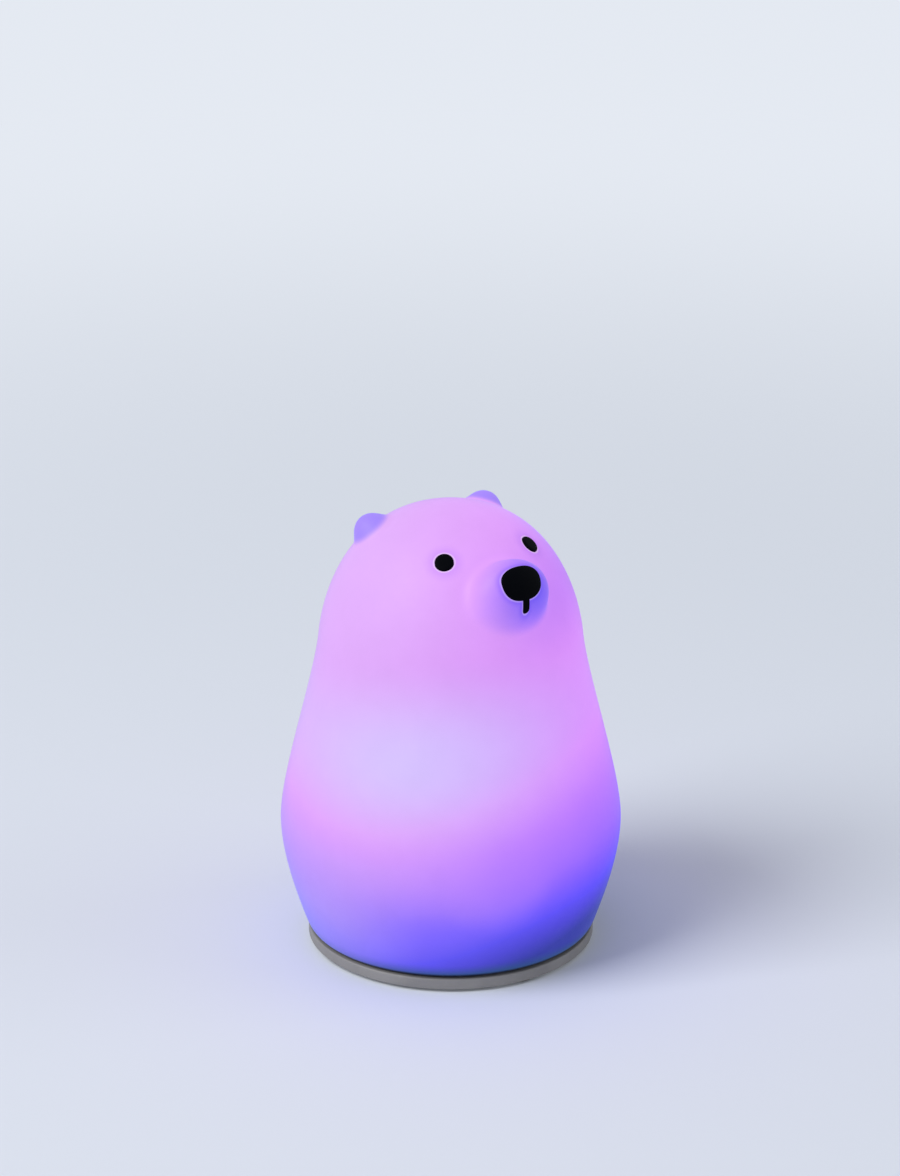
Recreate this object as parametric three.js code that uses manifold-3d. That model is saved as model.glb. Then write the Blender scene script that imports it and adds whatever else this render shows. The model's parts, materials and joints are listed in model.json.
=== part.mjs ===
// A bear-shaped night light: a hollow silicone shade clamped on a round base that holds the lamp, the cell
// and the controls. Millimetres. The light stands on z = 0, its axis is +Z, and the bear faces -Y.
import * as THREE from 'three';
import { mergeVertices, toCreasedNormals } from 'three/addons/utils/BufferGeometryUtils.js';
import Module from 'manifold-3d';

const wasm = await Module();
wasm.setup();

// Gap that is left between two pieces that seat on each other, and how far a joined or cutting shape
// runs past a face
const seat = 0.3;
const over = 1;

// The round cell lies across the base, and the base is drawn around it
const cellRadius = 9.1;
const cellLength = 65;
const cellForward = 8;
const cellEdge = 0.8;
const cellRoom = 1.4;
const cellPadWidth = 5;
const cellPadThickness = 0.8;
const tabThickness = 0.3;
const tabWidth = 6;
const tabHeight = 8;

// Base: a flat cover below, a cup-shaped housing above, and the lip of the shade clamped between them
const standHeight = 1;
const floorThickness = 2;
const ringHeight = 3.4;
const ringEdge = 0.5;
const housingWall = 1.8;
const flangeWidth = 1.4;
const flangeThickness = 2;
const collarHeight = 2.5;
const collarWall = 2;
const clampWidth = 5;
const ceilingRoom = 1.1;
const ceilingThickness = 1.8;
const cradleSpread = 19;
const cradleRibThickness = 2;
const cradleRibHeight = 6;

// Silicone shade
const shadeWall = 2.5;
const lipThickness = 2.2;
const hemRoom = 1.6;
const hemRise = 3.3;
const hemRound = 3.5;
const hemFlare = 0.35;
const ringInset = 1;
const bellySwell = 7.2;
const bellyRise = 31.8;
const bellyRound = 10;
const waistRound = 13;
const neckIn = 5.1;
const neckRise = 91.8;
const neckLean = 0.1;
const neckRound = 14;
const headRound = 14;
const crownRise = 132.8;
const crownRound = 30;
const skinSides = 64;
const crowdAtFace = 0.3;
const crowdAtEars = 0.1;
const coreSides = 28;
const baseSides = 48;

// Ears and muzzle, which flow into the skin
const earSpread = 19.9;
const earBack = 13;
const earDrop = 8.3;
const earRadius = 5.4;
const muzzleInset = 7.2;
const muzzleDrop = 18.6;
const muzzleWidth = 12.4;
const muzzleDepth = 8.4;
const muzzleHeight = 11.1;
const blendReach = 4;

// Face inserts
const insertDepth = 1.4;
const insertProud = 0.5;
const eyeTurn = 36.6;
const eyeDrop = 9.1;
const eyeRadius = 2.85;
const eyeSides = 16;
const noseTilt = 44;
const noseRoot = 1.2;
const noseWidth = 13;
const noseHeight = 9.8;
const noseTaper = 0.07;
const noseSquareness = 2.4;
const noseSides = 22;
const mouthWidth = 2;
const mouthDrop = 7.8;

// Rear panel of the cover, which fills an arch in the hem of the shade
const panelHalfWidth = 10;
const panelTop = 17;
const panelCorner = 4;
const panelThickness = 2;
const panelInset = 0.4;
const panelGap = 0.4;
const archReach = 8;

// Feet and screws
const footRadius = 4.5;
const footPocket = 0.7;
const footEdge = 0.4;
const footMargin = 1.3;
const footTurns = [0, 90, 180, 270];
const screwShank = 1.4;
const screwHead = 2.7;
const screwHeadHeight = 1.5;
const screwSlotWidth = 0.7;
const screwSlotLength = 3;
const screwSlotDepth = 0.8;
const coverScrewLength = 9;
const coverScrewTurns = [-123, -34, 34, 123];
const coverScrewRecess = 1.6;
const coverScrewBoss = 1;
const postRadius = 3.3;
const boardScrewLength = 4;
const boardPostRadius = 2.8;
const lampBossRadius = 2.6;

// Control board and what it carries. Distances back are from its front edge, which lies behind the cell.
const boardThickness = 1.2;
const boardRoom = 2.4;
const boardHalfWidth = 14;
const boardDepth = 26.5;
const tongueHalfWidth = 8.6;
const tongueSetback = 2.2;
const boardScrewMargin = 3.2;
const boardScrewSpread = boardHalfWidth - boardScrewMargin;
const boardScrewBack = 22;
const chips = {
  driver_chip: { across: -3, back: 15.5, width: 6, depth: 5, height: 1.6 },
  charger_chip: { across: 6, back: 17.5, width: 4, depth: 5, height: 1.5 },
  storage_coil: { across: -9, back: 14, width: 4.5, depth: 4.5, height: 3 },
};
const tapSensorAcross = -9.5;
const tapSensorBack = 6.5;
const tapSensorRadius = 2.4;
const tapSensorHeight = 9;

// Charging socket and charge light
const socketWidth = 9;
const socketHeight = 3.3;
const socketWall = 0.3;
const socketLength = 9;
const socketBackWall = 1;
const socketSunk = 0.5;
const socketTongueWidth = 6.6;
const socketTongueThickness = 0.7;
const socketTongueLength = 4.6;
const lightPipeRadius = 0.9;
const lightPipeSide = 7;
const chargeLightSize = 1.6;

// Power slide, under the base
const switchAcross = -6.5;
const switchBack = 11.5;
const switchTravel = 2;
const switchWidth = 8.6;
const switchDepth = 4.4;
const switchHeight = 3.4;
const switchWall = 0.9;
const leverRoom = 1.2;
const leverHead = 2.8;
const leverStem = 1.6;
const knobWidth = 3.6;
const knobDepth = 3.4;
const knobPlate = 1.1;
const knobLap = 1;
const knobRibs = 3;
const knobRibDepth = 0.4;
const slotCorner = 0.6;
const controlSunk = 0.4;

// Mode button, beside it
const buttonAcross = 7;
const buttonTravel = 0.5;
const buttonRadius = 4;
const buttonEdge = 0.4;
const buttonDish = 0.4;
const buttonLap = 1;
const buttonFlange = 0.8;
const tactSize = 6;
const tactHeight = 3.2;
const plungerRadius = 1.7;
const plungerDepth = 1.6;

// Lamp
const lampPlateThickness = 1.6;
const lampPlateRoom = 3.1;
const lampScrewInset = 4.5;
const lampScrewTurns = [0, 120, 240];
const lampBossHeight = 2.2;
const ledCount = 6;
const ledCircle = 13;
const ledSize = 5;
const ledHeight = 1.4;
const lensHeight = 0.3;
const lensRadius = 1.9;
const diffuserFoot = 2.5;
const diffuserRadius = 30.5;
const diffuserHeight = 20;
const diffuserWall = 1.4;
const rimHeight = 2.2;
const rimWall = 1.6;

// Leads
const leadRadius = 0.7;
const flatLeadWidth = 4.4;
const flatLeadThickness = 0.9;
const flatLeadAcross = 0;
const flatLeadBack = 9.7;
const flatPlugWall = 0.8;
const flatPlugDepth = 3.4;
const flatPlugHeight = 5;
const headerHeight = 2;
const plugWidth = 6.2;
const plugDepth = 4.6;
const plugHeight = 6;
const plugBack = 4;
const plugAcross = -1;
const plugWall = 0.8;
const trayHeight = 4.2;
const leadArch = 3;
const leadLift = 2;
const leadSwing = 3;

// Heights that follow from the sizes above
const floorTop = standHeight + floorThickness;
const ringTop = standHeight + ringHeight;
const collarTop = ringTop + collarHeight;
const lipBottom = ringTop + seat;
const lipTop = lipBottom + lipThickness;
const flangeBottom = Math.max(lipTop, collarTop) + seat;
const hemZ = lipBottom + hemRise;
const cellZ = floorTop + cellPadThickness + seat + cellRadius;
const boardBottom = floorTop + seat + knobPlate + leverRoom + switchHeight;
const boardTop = boardBottom + boardThickness;
const plugTop = boardTop + plugWall + seat + plugHeight;
const leadTop = plugTop + leadArch + leadRadius;
const ceilingZ = Math.max(cellZ + cellRadius, leadTop) + ceilingRoom;
const housingTop = ceilingZ + ceilingThickness;
const lampTop = housingTop + lampPlateThickness;
const socketZ = boardTop + socketHeight / 2;

// Radii that follow: the cell sets the housing, and the housing sets the shade
const housingRoom = Math.hypot(cellLength / 2, cellForward + cellRadius) + cellRoom;
const housingRadius = housingRoom + housingWall;
const flangeRadius = housingRadius + flangeWidth;
const hemRadius = flangeRadius + hemRoom + shadeWall;
const ringRadius = hemRadius - ringInset;
const mouthRadius = flangeRadius - clampWidth;
const collarRadius = mouthRadius - seat;
const coverScrewCircle = collarRadius - collarWall - seat - postRadius;
const footCircle = ringRadius - footMargin - footRadius;
const bellyRadius = hemRadius + bellySwell;
const neckRadius = hemRadius - neckIn;
const archStart = housingRoom - archReach;
const lampPlateRadius = diffuserRadius - diffuserWall - lampPlateRoom;
const lampScrewCircle = lampPlateRadius - lampScrewInset;
const diffuserRim = diffuserRadius + diffuserFoot;

// The face and the ears hang on the crown, and the muzzle stands out from the neck
const crownZ = hemZ + crownRise;
const earZ = crownZ - earDrop;
const eyeZ = crownZ - eyeDrop;
const muzzleZ = crownZ - muzzleDrop;
const muzzleForward = neckRadius - muzzleInset;

// Places on the control board, from the board's front edge back
const boardFront = cellRadius - cellForward + boardRoom;
const boardShoulder = boardFront + boardDepth;
const boardScrewY = boardFront + boardScrewBack;
const switchY = boardFront + switchBack;
const plugY = boardFront + plugBack;
const flatLeadY = boardFront + flatLeadBack;

const point = (x, y) => new THREE.Vector2(x, y);
const radians = THREE.MathUtils.degToRad;

const finishes = {
  silicone: { color: 0xe0b6fb, roughness: 0.55 },
  blackRubber: { color: 0x0b0a0c, roughness: 0.35 },
  baseGrey: { color: 0xa5a09a, roughness: 0.6 },
  innerWhite: { color: 0xe8e8e4, roughness: 0.6 },
  opal: { color: 0xf2f1ee, roughness: 0.4 },
  board: { color: 0x2c6b45, roughness: 0.5 },
  lampBoard: { color: 0xe9ebe6, roughness: 0.45 },
  ledWhite: { color: 0xfbf6d8, roughness: 0.3 },
  steel: { color: 0xb9bbbf, roughness: 0.3, metalness: 1 },
  blackPlastic: { color: 0x1b1b1d, roughness: 0.5 },
  greyKnob: { color: 0x77736f, roughness: 0.55 },
  cellSleeve: { color: 0x2f6fae, roughness: 0.35 },
  foam: { color: 0x3a3a3c, roughness: 0.95 },
  footRubber: { color: 0x6d6a67, roughness: 0.9 },
  red: { color: 0xb3262a, roughness: 0.5 },
  black: { color: 0x161616, roughness: 0.5 },
  connector: { color: 0xe6e0cf, roughness: 0.5 },
  copper: { color: 0xa8673a, roughness: 0.45, metalness: 0.8 },
  clear: { color: 0xdfe8ea, roughness: 0.15 },
};
const materials = {};
for (const [name, look] of Object.entries(finishes)) materials[name] = new THREE.MeshStandardMaterial(look);

const light = new THREE.Group();

// Adds one named piece, from a geometry or from a solid that was joined or cut.
function piece(name, shape, material) {
  const geometry = shape.isBufferGeometry ? shape : geometryOf(shape);
  const mesh = new THREE.Mesh(toCreasedNormals(geometry, radians(35)), material);
  mesh.name = name;
  light.add(mesh);
}

// A closed geometry as a solid for joining and cutting.
function solid(geometry) {
  const bare = geometry.clone();
  bare.deleteAttribute('normal');
  bare.deleteAttribute('uv');
  const merged = mergeVertices(bare, 1e-4);
  const vertProperties = merged.attributes.position.array;
  const triVerts = new Uint32Array(merged.index.array);
  return new wasm.Manifold(new wasm.Mesh({ numProp: 3, vertProperties, triVerts }));
}

function geometryOf(body) {
  const mesh = body.getMesh();
  const geometry = new THREE.BufferGeometry();
  geometry.setAttribute('position', new THREE.BufferAttribute(mesh.vertProperties, 3));
  geometry.setIndex(new THREE.BufferAttribute(mesh.triVerts, 1));
  return geometry;
}

// A turned piece about +Z. The profile runs from the axis at the bottom, round the outside, to the top.
function turned(profile, sides) {
  return new THREE.LatheGeometry(profile, sides).rotateX(Math.PI / 2);
}

function rod(radius, z0, z1, sides = 16) {
  return turned([point(0, z0), point(radius, z0), point(radius, z1), point(0, z1)], sides);
}

// A flat shape in X and Y, raised from z0 to z1.
function slab(shape, z0, z1) {
  return new THREE.ExtrudeGeometry(shape, { depth: z1 - z0, bevelEnabled: false }).translate(0, 0, z0);
}

// A shape drawn in X and Z, carried along Y from y0 to y1.
function prism(shape, y0, y1) {
  return slab(shape, -y1, -y0).rotateX(Math.PI / 2);
}

function block(x0, x1, y0, y1, z0, z1) {
  const box = new THREE.BoxGeometry(x1 - x0, y1 - y0, z1 - z0);
  return box.translate((x0 + x1) / 2, (y0 + y1) / 2, (z0 + z1) / 2);
}

function centredBlock(x, y, width, depth, z0, z1) {
  return block(x - width / 2, x + width / 2, y - depth / 2, y + depth / 2, z0, z1);
}

// A rectangle with round corners, centred on (x, y).
function roundedShape(x, y, width, height, radius) {
  const shape = new THREE.Shape();
  const right = x + width / 2 - radius;
  const left = x - width / 2 + radius;
  const top = y + height / 2 - radius;
  const bottom = y - height / 2 + radius;
  shape.absarc(right, top, radius, 0, Math.PI / 2);
  shape.absarc(left, top, radius, Math.PI / 2, Math.PI);
  shape.absarc(left, bottom, radius, Math.PI, 1.5 * Math.PI);
  shape.absarc(right, bottom, radius, 1.5 * Math.PI, 2 * Math.PI);
  return new THREE.Shape(shape.getPoints(4).slice(0, -1));
}

// A place on a circle about the axis, turned from the bear's front towards its left.
function around(radius, turn) {
  return point(radius * Math.sin(radians(turn)), -radius * Math.cos(radians(turn)));
}

// The shade's outer line, from the lip out round the hem, up the belly and the neck to the crown.
function skinLine() {
  const hemStart = point(hemRadius - hemRound, lipBottom);
  const hemEnd = point(hemRadius, hemZ);
  const belly = point(bellyRadius, hemZ + bellyRise);
  const neck = point(neckRadius, hemZ + neckRise);
  const crown = point(0, crownZ);
  const upFlare = point(hemFlare, 1);
  const upNeck = point(-neckLean, 1);
  const alongFlare = upFlare.clone().multiplyScalar(-hemRise).add(hemEnd);
  const sideHandle = upFlare.clone().multiplyScalar(bellyRound).add(hemEnd);
  const waistHandle = upNeck.clone().multiplyScalar(-neckRound).add(neck);
  const headHandle = upNeck.clone().multiplyScalar(headRound).add(neck);
  const bellyDown = point(belly.x, belly.y - bellyRound);
  const bellyUp = point(belly.x, belly.y + waistRound);
  return {
    hem: new THREE.QuadraticBezierCurve(hemStart, alongFlare, hemEnd),
    side: new THREE.CubicBezierCurve(hemEnd, sideHandle, bellyDown, belly),
    waist: new THREE.CubicBezierCurve(belly, bellyUp, waistHandle, neck),
    head: new THREE.CubicBezierCurve(neck, headHandle, point(crownRound, crown.y), crown),
  };
}
const skin = skinLine();

// Samples of the skin above the hem, moved inward by an inset.
function skinPoints(inset, steps) {
  const points = [];
  for (const [name, count] of Object.entries(steps)) {
    for (let i = points.length ? 1 : 0; i <= count; i++) {
      const at = skin[name].getPoint(i / count);
      const along = skin[name].getTangent(i / count);
      points.push(point(Math.max(0, at.x - inset * along.y), at.y + inset * along.x));
    }
  }
  points[points.length - 1].x = 0;
  return points;
}
const fineSkin = skinPoints(0, { side: 24, waist: 40, head: 60 });

// Radius of the turned skin at a height, and the outward normal there. Below the hem the flare runs on.
function skinAt(z) {
  const flare = point(1, -hemFlare).normalize();
  if (z <= hemZ) return { radius: hemRadius - (hemZ - z) * hemFlare, normal: flare };
  const upper = fineSkin.findIndex((p) => p.y > z);
  const [a, b] = [fineSkin[upper - 1], fineSkin[upper]];
  const share = (z - a.y) / (b.y - a.y);
  return { radius: a.x + (b.x - a.x) * share, normal: point(b.y - a.y, a.x - b.x).normalize() };
}

// A plug that fills the turned skin, moved inward by an inset, between two heights.
function skinPlug(inset, z0, z1, sides) {
  const steps = 5;
  const profile = [point(0, z0)];
  for (let i = 0; i <= steps; i++) {
    const z = z0 + ((z1 - z0) * i) / steps;
    profile.push(point(skinAt(z).radius - inset, z));
  }
  return solid(turned([...profile, point(0, z1)], sides));
}

// Distances to the ears and the muzzle, and the soft union that makes them flow into the body.
const ears = [-1, 1].map((side) => new THREE.Vector3(side * earSpread, earBack, earZ));
const muzzle = new THREE.Vector3(0, -muzzleForward, muzzleZ);
const muzzleAxes = new THREE.Vector3(muzzleWidth, muzzleDepth, muzzleHeight);

function muzzleDistance(p) {
  const scaled = p.clone().sub(muzzle).divide(muzzleAxes);
  const reach = scaled.length();
  return (reach * (reach - 1)) / scaled.divide(muzzleAxes).length();
}

function softMin(a, b) {
  const overlap = Math.max(blendReach - Math.abs(a - b), 0);
  return Math.min(a, b) - (overlap * overlap) / (4 * blendReach);
}

// How far a point on the turned skin moves out along its normal to reach the blended skin.
function bulge(at, normal) {
  let low = 0;
  let high = earRadius + muzzleDepth + blendReach;
  for (let i = 0; i < 24; i++) {
    const middle = (low + high) / 2;
    const p = at.clone().addScaledVector(normal, middle);
    const features = [...ears.map((ear) => p.distanceTo(ear) - earRadius), muzzleDistance(p)];
    if (features.reduce(softMin, middle) < 0) low = middle;
    else high = middle;
  }
  return low;
}

// The columns of the skin stand closer together at the muzzle and at the ears, which need them.
const upward = new THREE.Vector3(0, 0, 1);
function crowding(turn) {
  return -crowdAtFace * Math.sin(turn) - crowdAtEars * Math.sin(3 * turn);
}

// The bear's outer form as a full solid: a turned body whose skin is moved out over the ears and the muzzle.
function bearBody() {
  const line = skinPoints(0, { side: 3, waist: 5, head: 19 });
  const hem = skin.hem.getPoints(3).slice(0, -1);
  const geometry = turned([point(0, lipBottom), ...hem, ...line], skinSides);
  const { position, normal } = geometry.attributes;
  const at = new THREE.Vector3();
  const out = new THREE.Vector3();
  for (let i = 0; i < position.count; i++) {
    const crowd = crowding(Math.atan2(position.getX(i), -position.getY(i)));
    at.fromBufferAttribute(position, i).applyAxisAngle(upward, crowd);
    out.fromBufferAttribute(normal, i).applyAxisAngle(upward, crowd);
    if (at.z > hemZ + bellyRise) at.addScaledVector(out, bulge(at, out));
    position.setXYZ(i, at.x, at.y, at.z);
  }
  return solid(geometry);
}

// The hollow inside the shade, with its mouth.
function shadeCore() {
  const inner = skinPoints(shadeWall, { side: 3, waist: 4, head: 8 }).filter((p) => p.y > lipTop);
  const below = lipBottom - over;
  const mouth = [point(0, below), point(mouthRadius, below), point(mouthRadius, lipTop)];
  return solid(turned([...mouth, point(inner[0].x, lipTop), ...inner], coreSides));
}

// The arch behind the tail that the rear panel fills, grown on its three open sides.
function archShape(grow, bottom) {
  const side = panelHalfWidth + grow;
  const top = panelTop + grow;
  const shape = new THREE.Shape([point(-side, bottom), point(side, bottom)]);
  shape.absarc(side - panelCorner, top - panelCorner, panelCorner, 0, Math.PI / 2);
  shape.absarc(panelCorner - side, top - panelCorner, panelCorner, Math.PI / 2, Math.PI);
  return shape;
}

function archPrism(grow, bottom) {
  return solid(prism(archShape(grow, bottom), archStart, bellyRadius));
}

// An insert's own frame: its outer face looks along +Z before it is turned out of the skin at a place.
function setOnSkin(geometry, at, out) {
  const across = new THREE.Vector3(0, 0, 1).cross(out).normalize();
  const up = out.clone().cross(across);
  const frame = new THREE.Matrix4().makeBasis(across, up, out).setPosition(at);
  return geometry.applyMatrix4(frame);
}

// Sets a geometry where an eye sits on the skin.
function atEye(geometry, side) {
  const { radius, normal } = skinAt(eyeZ);
  const place = around(radius, side * eyeTurn);
  const tilt = around(normal.x, side * eyeTurn);
  const at = new THREE.Vector3(place.x, place.y, eyeZ);
  return setOnSkin(geometry, at, new THREE.Vector3(tilt.x, tilt.y, normal.y));
}

// An eye is a round pad with a soft edge, and its pocket in the skin is open outwards.
function eyePad(side) {
  const profile = [
    point(0, -insertDepth),
    point(eyeRadius, -insertDepth),
    point(eyeRadius, 0),
    point(eyeRadius - insertProud * 0.3, insertProud * 0.7),
    point(eyeRadius - insertProud, insertProud),
    point(0, insertProud),
  ];
  return atEye(turned(profile, eyeSides), side);
}

function eyePocket(side) {
  return solid(atEye(rod(eyeRadius + seat, -insertDepth - seat, insertDepth, eyeSides), side));
}

// The nose's outline is a rounded oval, a little wider at its top, and the mouth line hangs from it.
function noseOutline(grow) {
  const points = [];
  const power = 2 / noseSquareness;
  for (let i = 0; i < noseSides; i++) {
    const angle = (i / noseSides) * 2 * Math.PI;
    const x = Math.sign(Math.cos(angle)) * Math.abs(Math.cos(angle)) ** power;
    const y = Math.sign(Math.sin(angle)) * Math.abs(Math.sin(angle)) ** power;
    const width = (noseWidth / 2 + grow) * (1 + noseTaper * y);
    points.push(point(x * width, y * (noseHeight / 2 + grow)));
  }
  return new THREE.Shape(points);
}

function mouthOutline(grow) {
  const width = mouthWidth + 2 * grow;
  return roundedShape(0, -mouthDrop / 2 - grow / 2, width, mouthDrop + grow, width * 0.49);
}

// An ellipsoid about the muzzle's centre, moved out from the muzzle by an offset.
function muzzleBall(offset) {
  const axes = muzzleAxes.clone().addScalar(offset);
  const ball = new THREE.SphereGeometry(1, 18, 12).scale(axes.x, axes.y, axes.z);
  return solid(ball.translate(muzzle.x, muzzle.y, muzzle.z));
}

// The nose follows the muzzle: its outline, hollowed by one ellipsoid and ended by another. Its pocket
// is open outwards.
function nosePrism(grow) {
  const out = new THREE.Vector3(0, -Math.cos(radians(noseTilt)), Math.sin(radians(noseTilt)));
  const reach = muzzleWidth + muzzleDepth;
  const nose = solid(setOnSkin(slab(noseOutline(grow), noseRoot - grow, reach), muzzle, out));
  const mouth = solid(setOnSkin(slab(mouthOutline(grow), noseRoot - grow, reach), muzzle, out));
  return nose.add(mouth).subtract(muzzleBall(-insertDepth - grow));
}

function shade() {
  let body = bearBody().subtract(shadeCore()).subtract(archPrism(panelGap, lipBottom - over));
  for (const pocket of [eyePocket(-1), eyePocket(1), nosePrism(seat)]) body = body.subtract(pocket);
  piece('silicone_shade', body, materials.silicone);
  piece('eye_left', eyePad(1), materials.blackRubber);
  piece('eye_right', eyePad(-1), materials.blackRubber);
  piece('nose', nosePrism(0).intersect(muzzleBall(insertProud)), materials.blackRubber);
}

// The cell's body grown all round, which hollows the cradle and the collar.
function cellRoomSolid() {
  const radius = cellRadius + seat;
  const half = cellLength / 2 + cellRoom;
  return solid(rod(radius, -half, half, 24).rotateY(Math.PI / 2).translate(0, -cellForward, cellZ));
}

function coverBody() {
  const collarInner = collarRadius - collarWall;
  const profile = [
    point(0, standHeight),
    point(ringRadius - ringEdge, standHeight),
    point(ringRadius, standHeight + ringEdge),
    point(ringRadius, ringTop - ringEdge),
    point(ringRadius - ringEdge, ringTop),
    point(collarRadius, ringTop),
    point(collarRadius, collarTop),
    point(collarInner, collarTop),
    point(collarInner, floorTop),
    point(0, floorTop),
  ];
  return solid(turned(profile, baseSides));
}

// The rear panel follows the skin of the shade and carries the charging socket's window.
function rearPanel() {
  const band = skinPlug(panelInset, ringTop, panelTop + over, baseSides)
    .subtract(skinPlug(panelInset + panelThickness, ringTop - over, panelTop + 2 * over, baseSides));
  return band.intersect(archPrism(0, ringTop - ringEdge));
}

function coverHoles() {
  const cuts = [];
  for (const turn of coverScrewTurns) {
    const at = around(coverScrewCircle, turn);
    const head = rod(screwHead + seat, 0, standHeight + coverScrewRecess, 10);
    cuts.push(head.translate(at.x, at.y, 0));
    cuts.push(rod(screwShank + seat, 0, floorTop + coverScrewBoss + over, 8).translate(at.x, at.y, 0));
  }
  for (const turn of footTurns) {
    const at = around(footCircle, turn);
    cuts.push(rod(footRadius + seat, 0, standHeight + footPocket, 12).translate(at.x, at.y, 0));
  }
  const slotWidth = knobWidth + switchTravel + 2 * seat;
  const slotDepth = knobDepth + 2 * seat;
  const slot = roundedShape(switchAcross - switchTravel / 2, switchY, slotWidth, slotDepth, slotCorner);
  cuts.push(slab(slot, 0, floorTop + over));
  cuts.push(rod(buttonRadius + seat, 0, floorTop + over, 24).translate(buttonAcross, switchY, 0));
  const window = roundedShape(0, socketZ, socketWidth + 2 * seat, socketHeight + 2 * seat, socketHeight / 2);
  cuts.push(prism(window, archStart, bellyRadius));
  const eyelet = rod(lightPipeRadius + seat, archStart, bellyRadius, 12).rotateX(-Math.PI / 2);
  cuts.push(eyelet.translate(lightPipeSide, 0, socketZ));
  return cuts;
}

function cover() {
  let body = coverBody();
  for (const x of [-cradleSpread, cradleSpread]) {
    const half = cradleRibThickness / 2;
    const front = -cellForward - cellRadius;
    const back = -cellForward + cellRadius;
    const rib = block(x - half, x + half, front, back, floorTop - over, floorTop + cradleRibHeight);
    body = body.add(solid(rib));
  }
  for (const side of [-1, 1]) {
    const post = rod(boardPostRadius, floorTop - over, boardBottom, 12);
    body = body.add(solid(post.translate(side * boardScrewSpread, boardScrewY, 0)));
  }
  for (const turn of coverScrewTurns) {
    const at = around(coverScrewCircle, turn);
    const boss = rod(postRadius, floorTop - over, floorTop + coverScrewBoss, 12);
    body = body.add(solid(boss.translate(at.x, at.y, 0)));
  }
  body = body.subtract(cellRoomSolid()).add(rearPanel());
  for (const cut of coverHoles()) body = body.subtract(solid(cut));
  for (const side of [-1, 1]) {
    const pilot = rod(screwShank + seat, floorTop, boardTop, 8);
    body = body.subtract(solid(pilot.translate(side * boardScrewSpread, boardScrewY, 0)));
  }
  piece('base_cover', body, materials.baseGrey);
}

function housing() {
  const rimInner = diffuserRim + seat;
  const profile = [
    point(0, ceilingZ),
    point(housingRoom, ceilingZ),
    point(housingRoom, flangeBottom),
    point(flangeRadius, flangeBottom),
    point(flangeRadius, flangeBottom + flangeThickness),
    point(housingRadius, flangeBottom + flangeThickness),
    point(housingRadius, housingTop - housingWall),
    point(housingRadius - housingWall, housingTop),
    point(rimInner + rimWall, housingTop),
    point(rimInner + rimWall, housingTop + rimHeight),
    point(rimInner, housingTop + rimHeight),
    point(rimInner, housingTop),
    point(0, housingTop),
  ];
  let body = solid(turned(profile, baseSides));
  for (const turn of coverScrewTurns) {
    const at = around(coverScrewCircle, turn);
    const post = rod(postRadius, floorTop + coverScrewBoss + seat, ceilingZ + over, 12);
    body = body.add(solid(post.translate(at.x, at.y, 0)));
  }
  for (const turn of lampScrewTurns) {
    const at = around(lampScrewCircle, turn);
    const boss = rod(lampBossRadius, ceilingZ - lampBossHeight, ceilingZ + over, 12);
    body = body.add(solid(boss.translate(at.x, at.y, 0)));
  }
  for (const turn of coverScrewTurns) {
    const at = around(coverScrewCircle, turn);
    const depth = standHeight + coverScrewRecess + coverScrewLength + over;
    const pilot = rod(screwShank + seat, 0, depth, 8);
    body = body.subtract(solid(pilot.translate(at.x, at.y, 0)));
  }
  for (const turn of lampScrewTurns) {
    const at = around(lampScrewCircle, turn);
    const pilot = rod(screwShank + seat, lampTop - boardScrewLength - seat, housingTop + over, 8);
    body = body.subtract(solid(pilot.translate(at.x, at.y, 0)));
  }
  body = body.subtract(solid(flatLeadHole(ceilingZ - over, housingTop + over)));
  body = body.subtract(archPrism(panelGap, 0));
  piece('base_housing', body, materials.innerWhite);
}

function flatLeadHole(z0, z1) {
  const [width, depth] = [flatLeadWidth + 2 * seat, flatLeadThickness + 2 * seat];
  return centredBlock(flatLeadAcross, flatLeadY, width, depth, z0, z1);
}

// A pan-head screw with a cross recess. Its head's seat is at z = 0 and its shank points along -Z.
function screwSolid(length) {
  const profile = [
    point(0, -length),
    point(screwShank * 0.5, -length),
    point(screwShank, screwShank - length),
    point(screwShank, 0),
    point(screwHead, 0),
    point(screwHead * 0.8, screwHeadHeight),
    point(0, screwHeadHeight),
  ];
  let body = solid(turned(profile, 8));
  const [top, bottom] = [screwHeadHeight + over, screwHeadHeight - screwSlotDepth];
  body = body.subtract(solid(centredBlock(0, 0, screwSlotLength, screwSlotWidth, bottom, top)));
  return body.subtract(solid(centredBlock(0, 0, screwSlotWidth, screwSlotLength, bottom, top)));
}

function screw(name, length, x, y, z, headDown) {
  const geometry = geometryOf(screwSolid(length));
  if (headDown) geometry.rotateX(Math.PI);
  piece(name, geometry.translate(x, y, z), materials.steel);
}

function fasteners() {
  coverScrewTurns.forEach((turn, i) => {
    const at = around(coverScrewCircle, turn);
    screw(`cover_screw_${i + 1}`, coverScrewLength, at.x, at.y, standHeight + coverScrewRecess, true);
  });
  lampScrewTurns.forEach((turn, i) => {
    const at = around(lampScrewCircle, turn);
    screw(`led_board_screw_${i + 1}`, boardScrewLength, at.x, at.y, lampTop, false);
  });
  [-1, 1].forEach((side, i) => {
    const x = side * boardScrewSpread;
    screw(`control_board_screw_${i + 1}`, boardScrewLength, x, boardScrewY, boardTop, false);
  });
  footTurns.forEach((turn, i) => {
    const at = around(footCircle, turn);
    const top = standHeight + footPocket - seat;
    const profile = [
      point(0, 0),
      point(footRadius - footEdge, 0),
      point(footRadius, footEdge),
      point(footRadius, top),
      point(0, top),
    ];
    piece(`foot_${i + 1}`, turned(profile, 12).translate(at.x, at.y, 0), materials.footRubber);
  });
}

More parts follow.
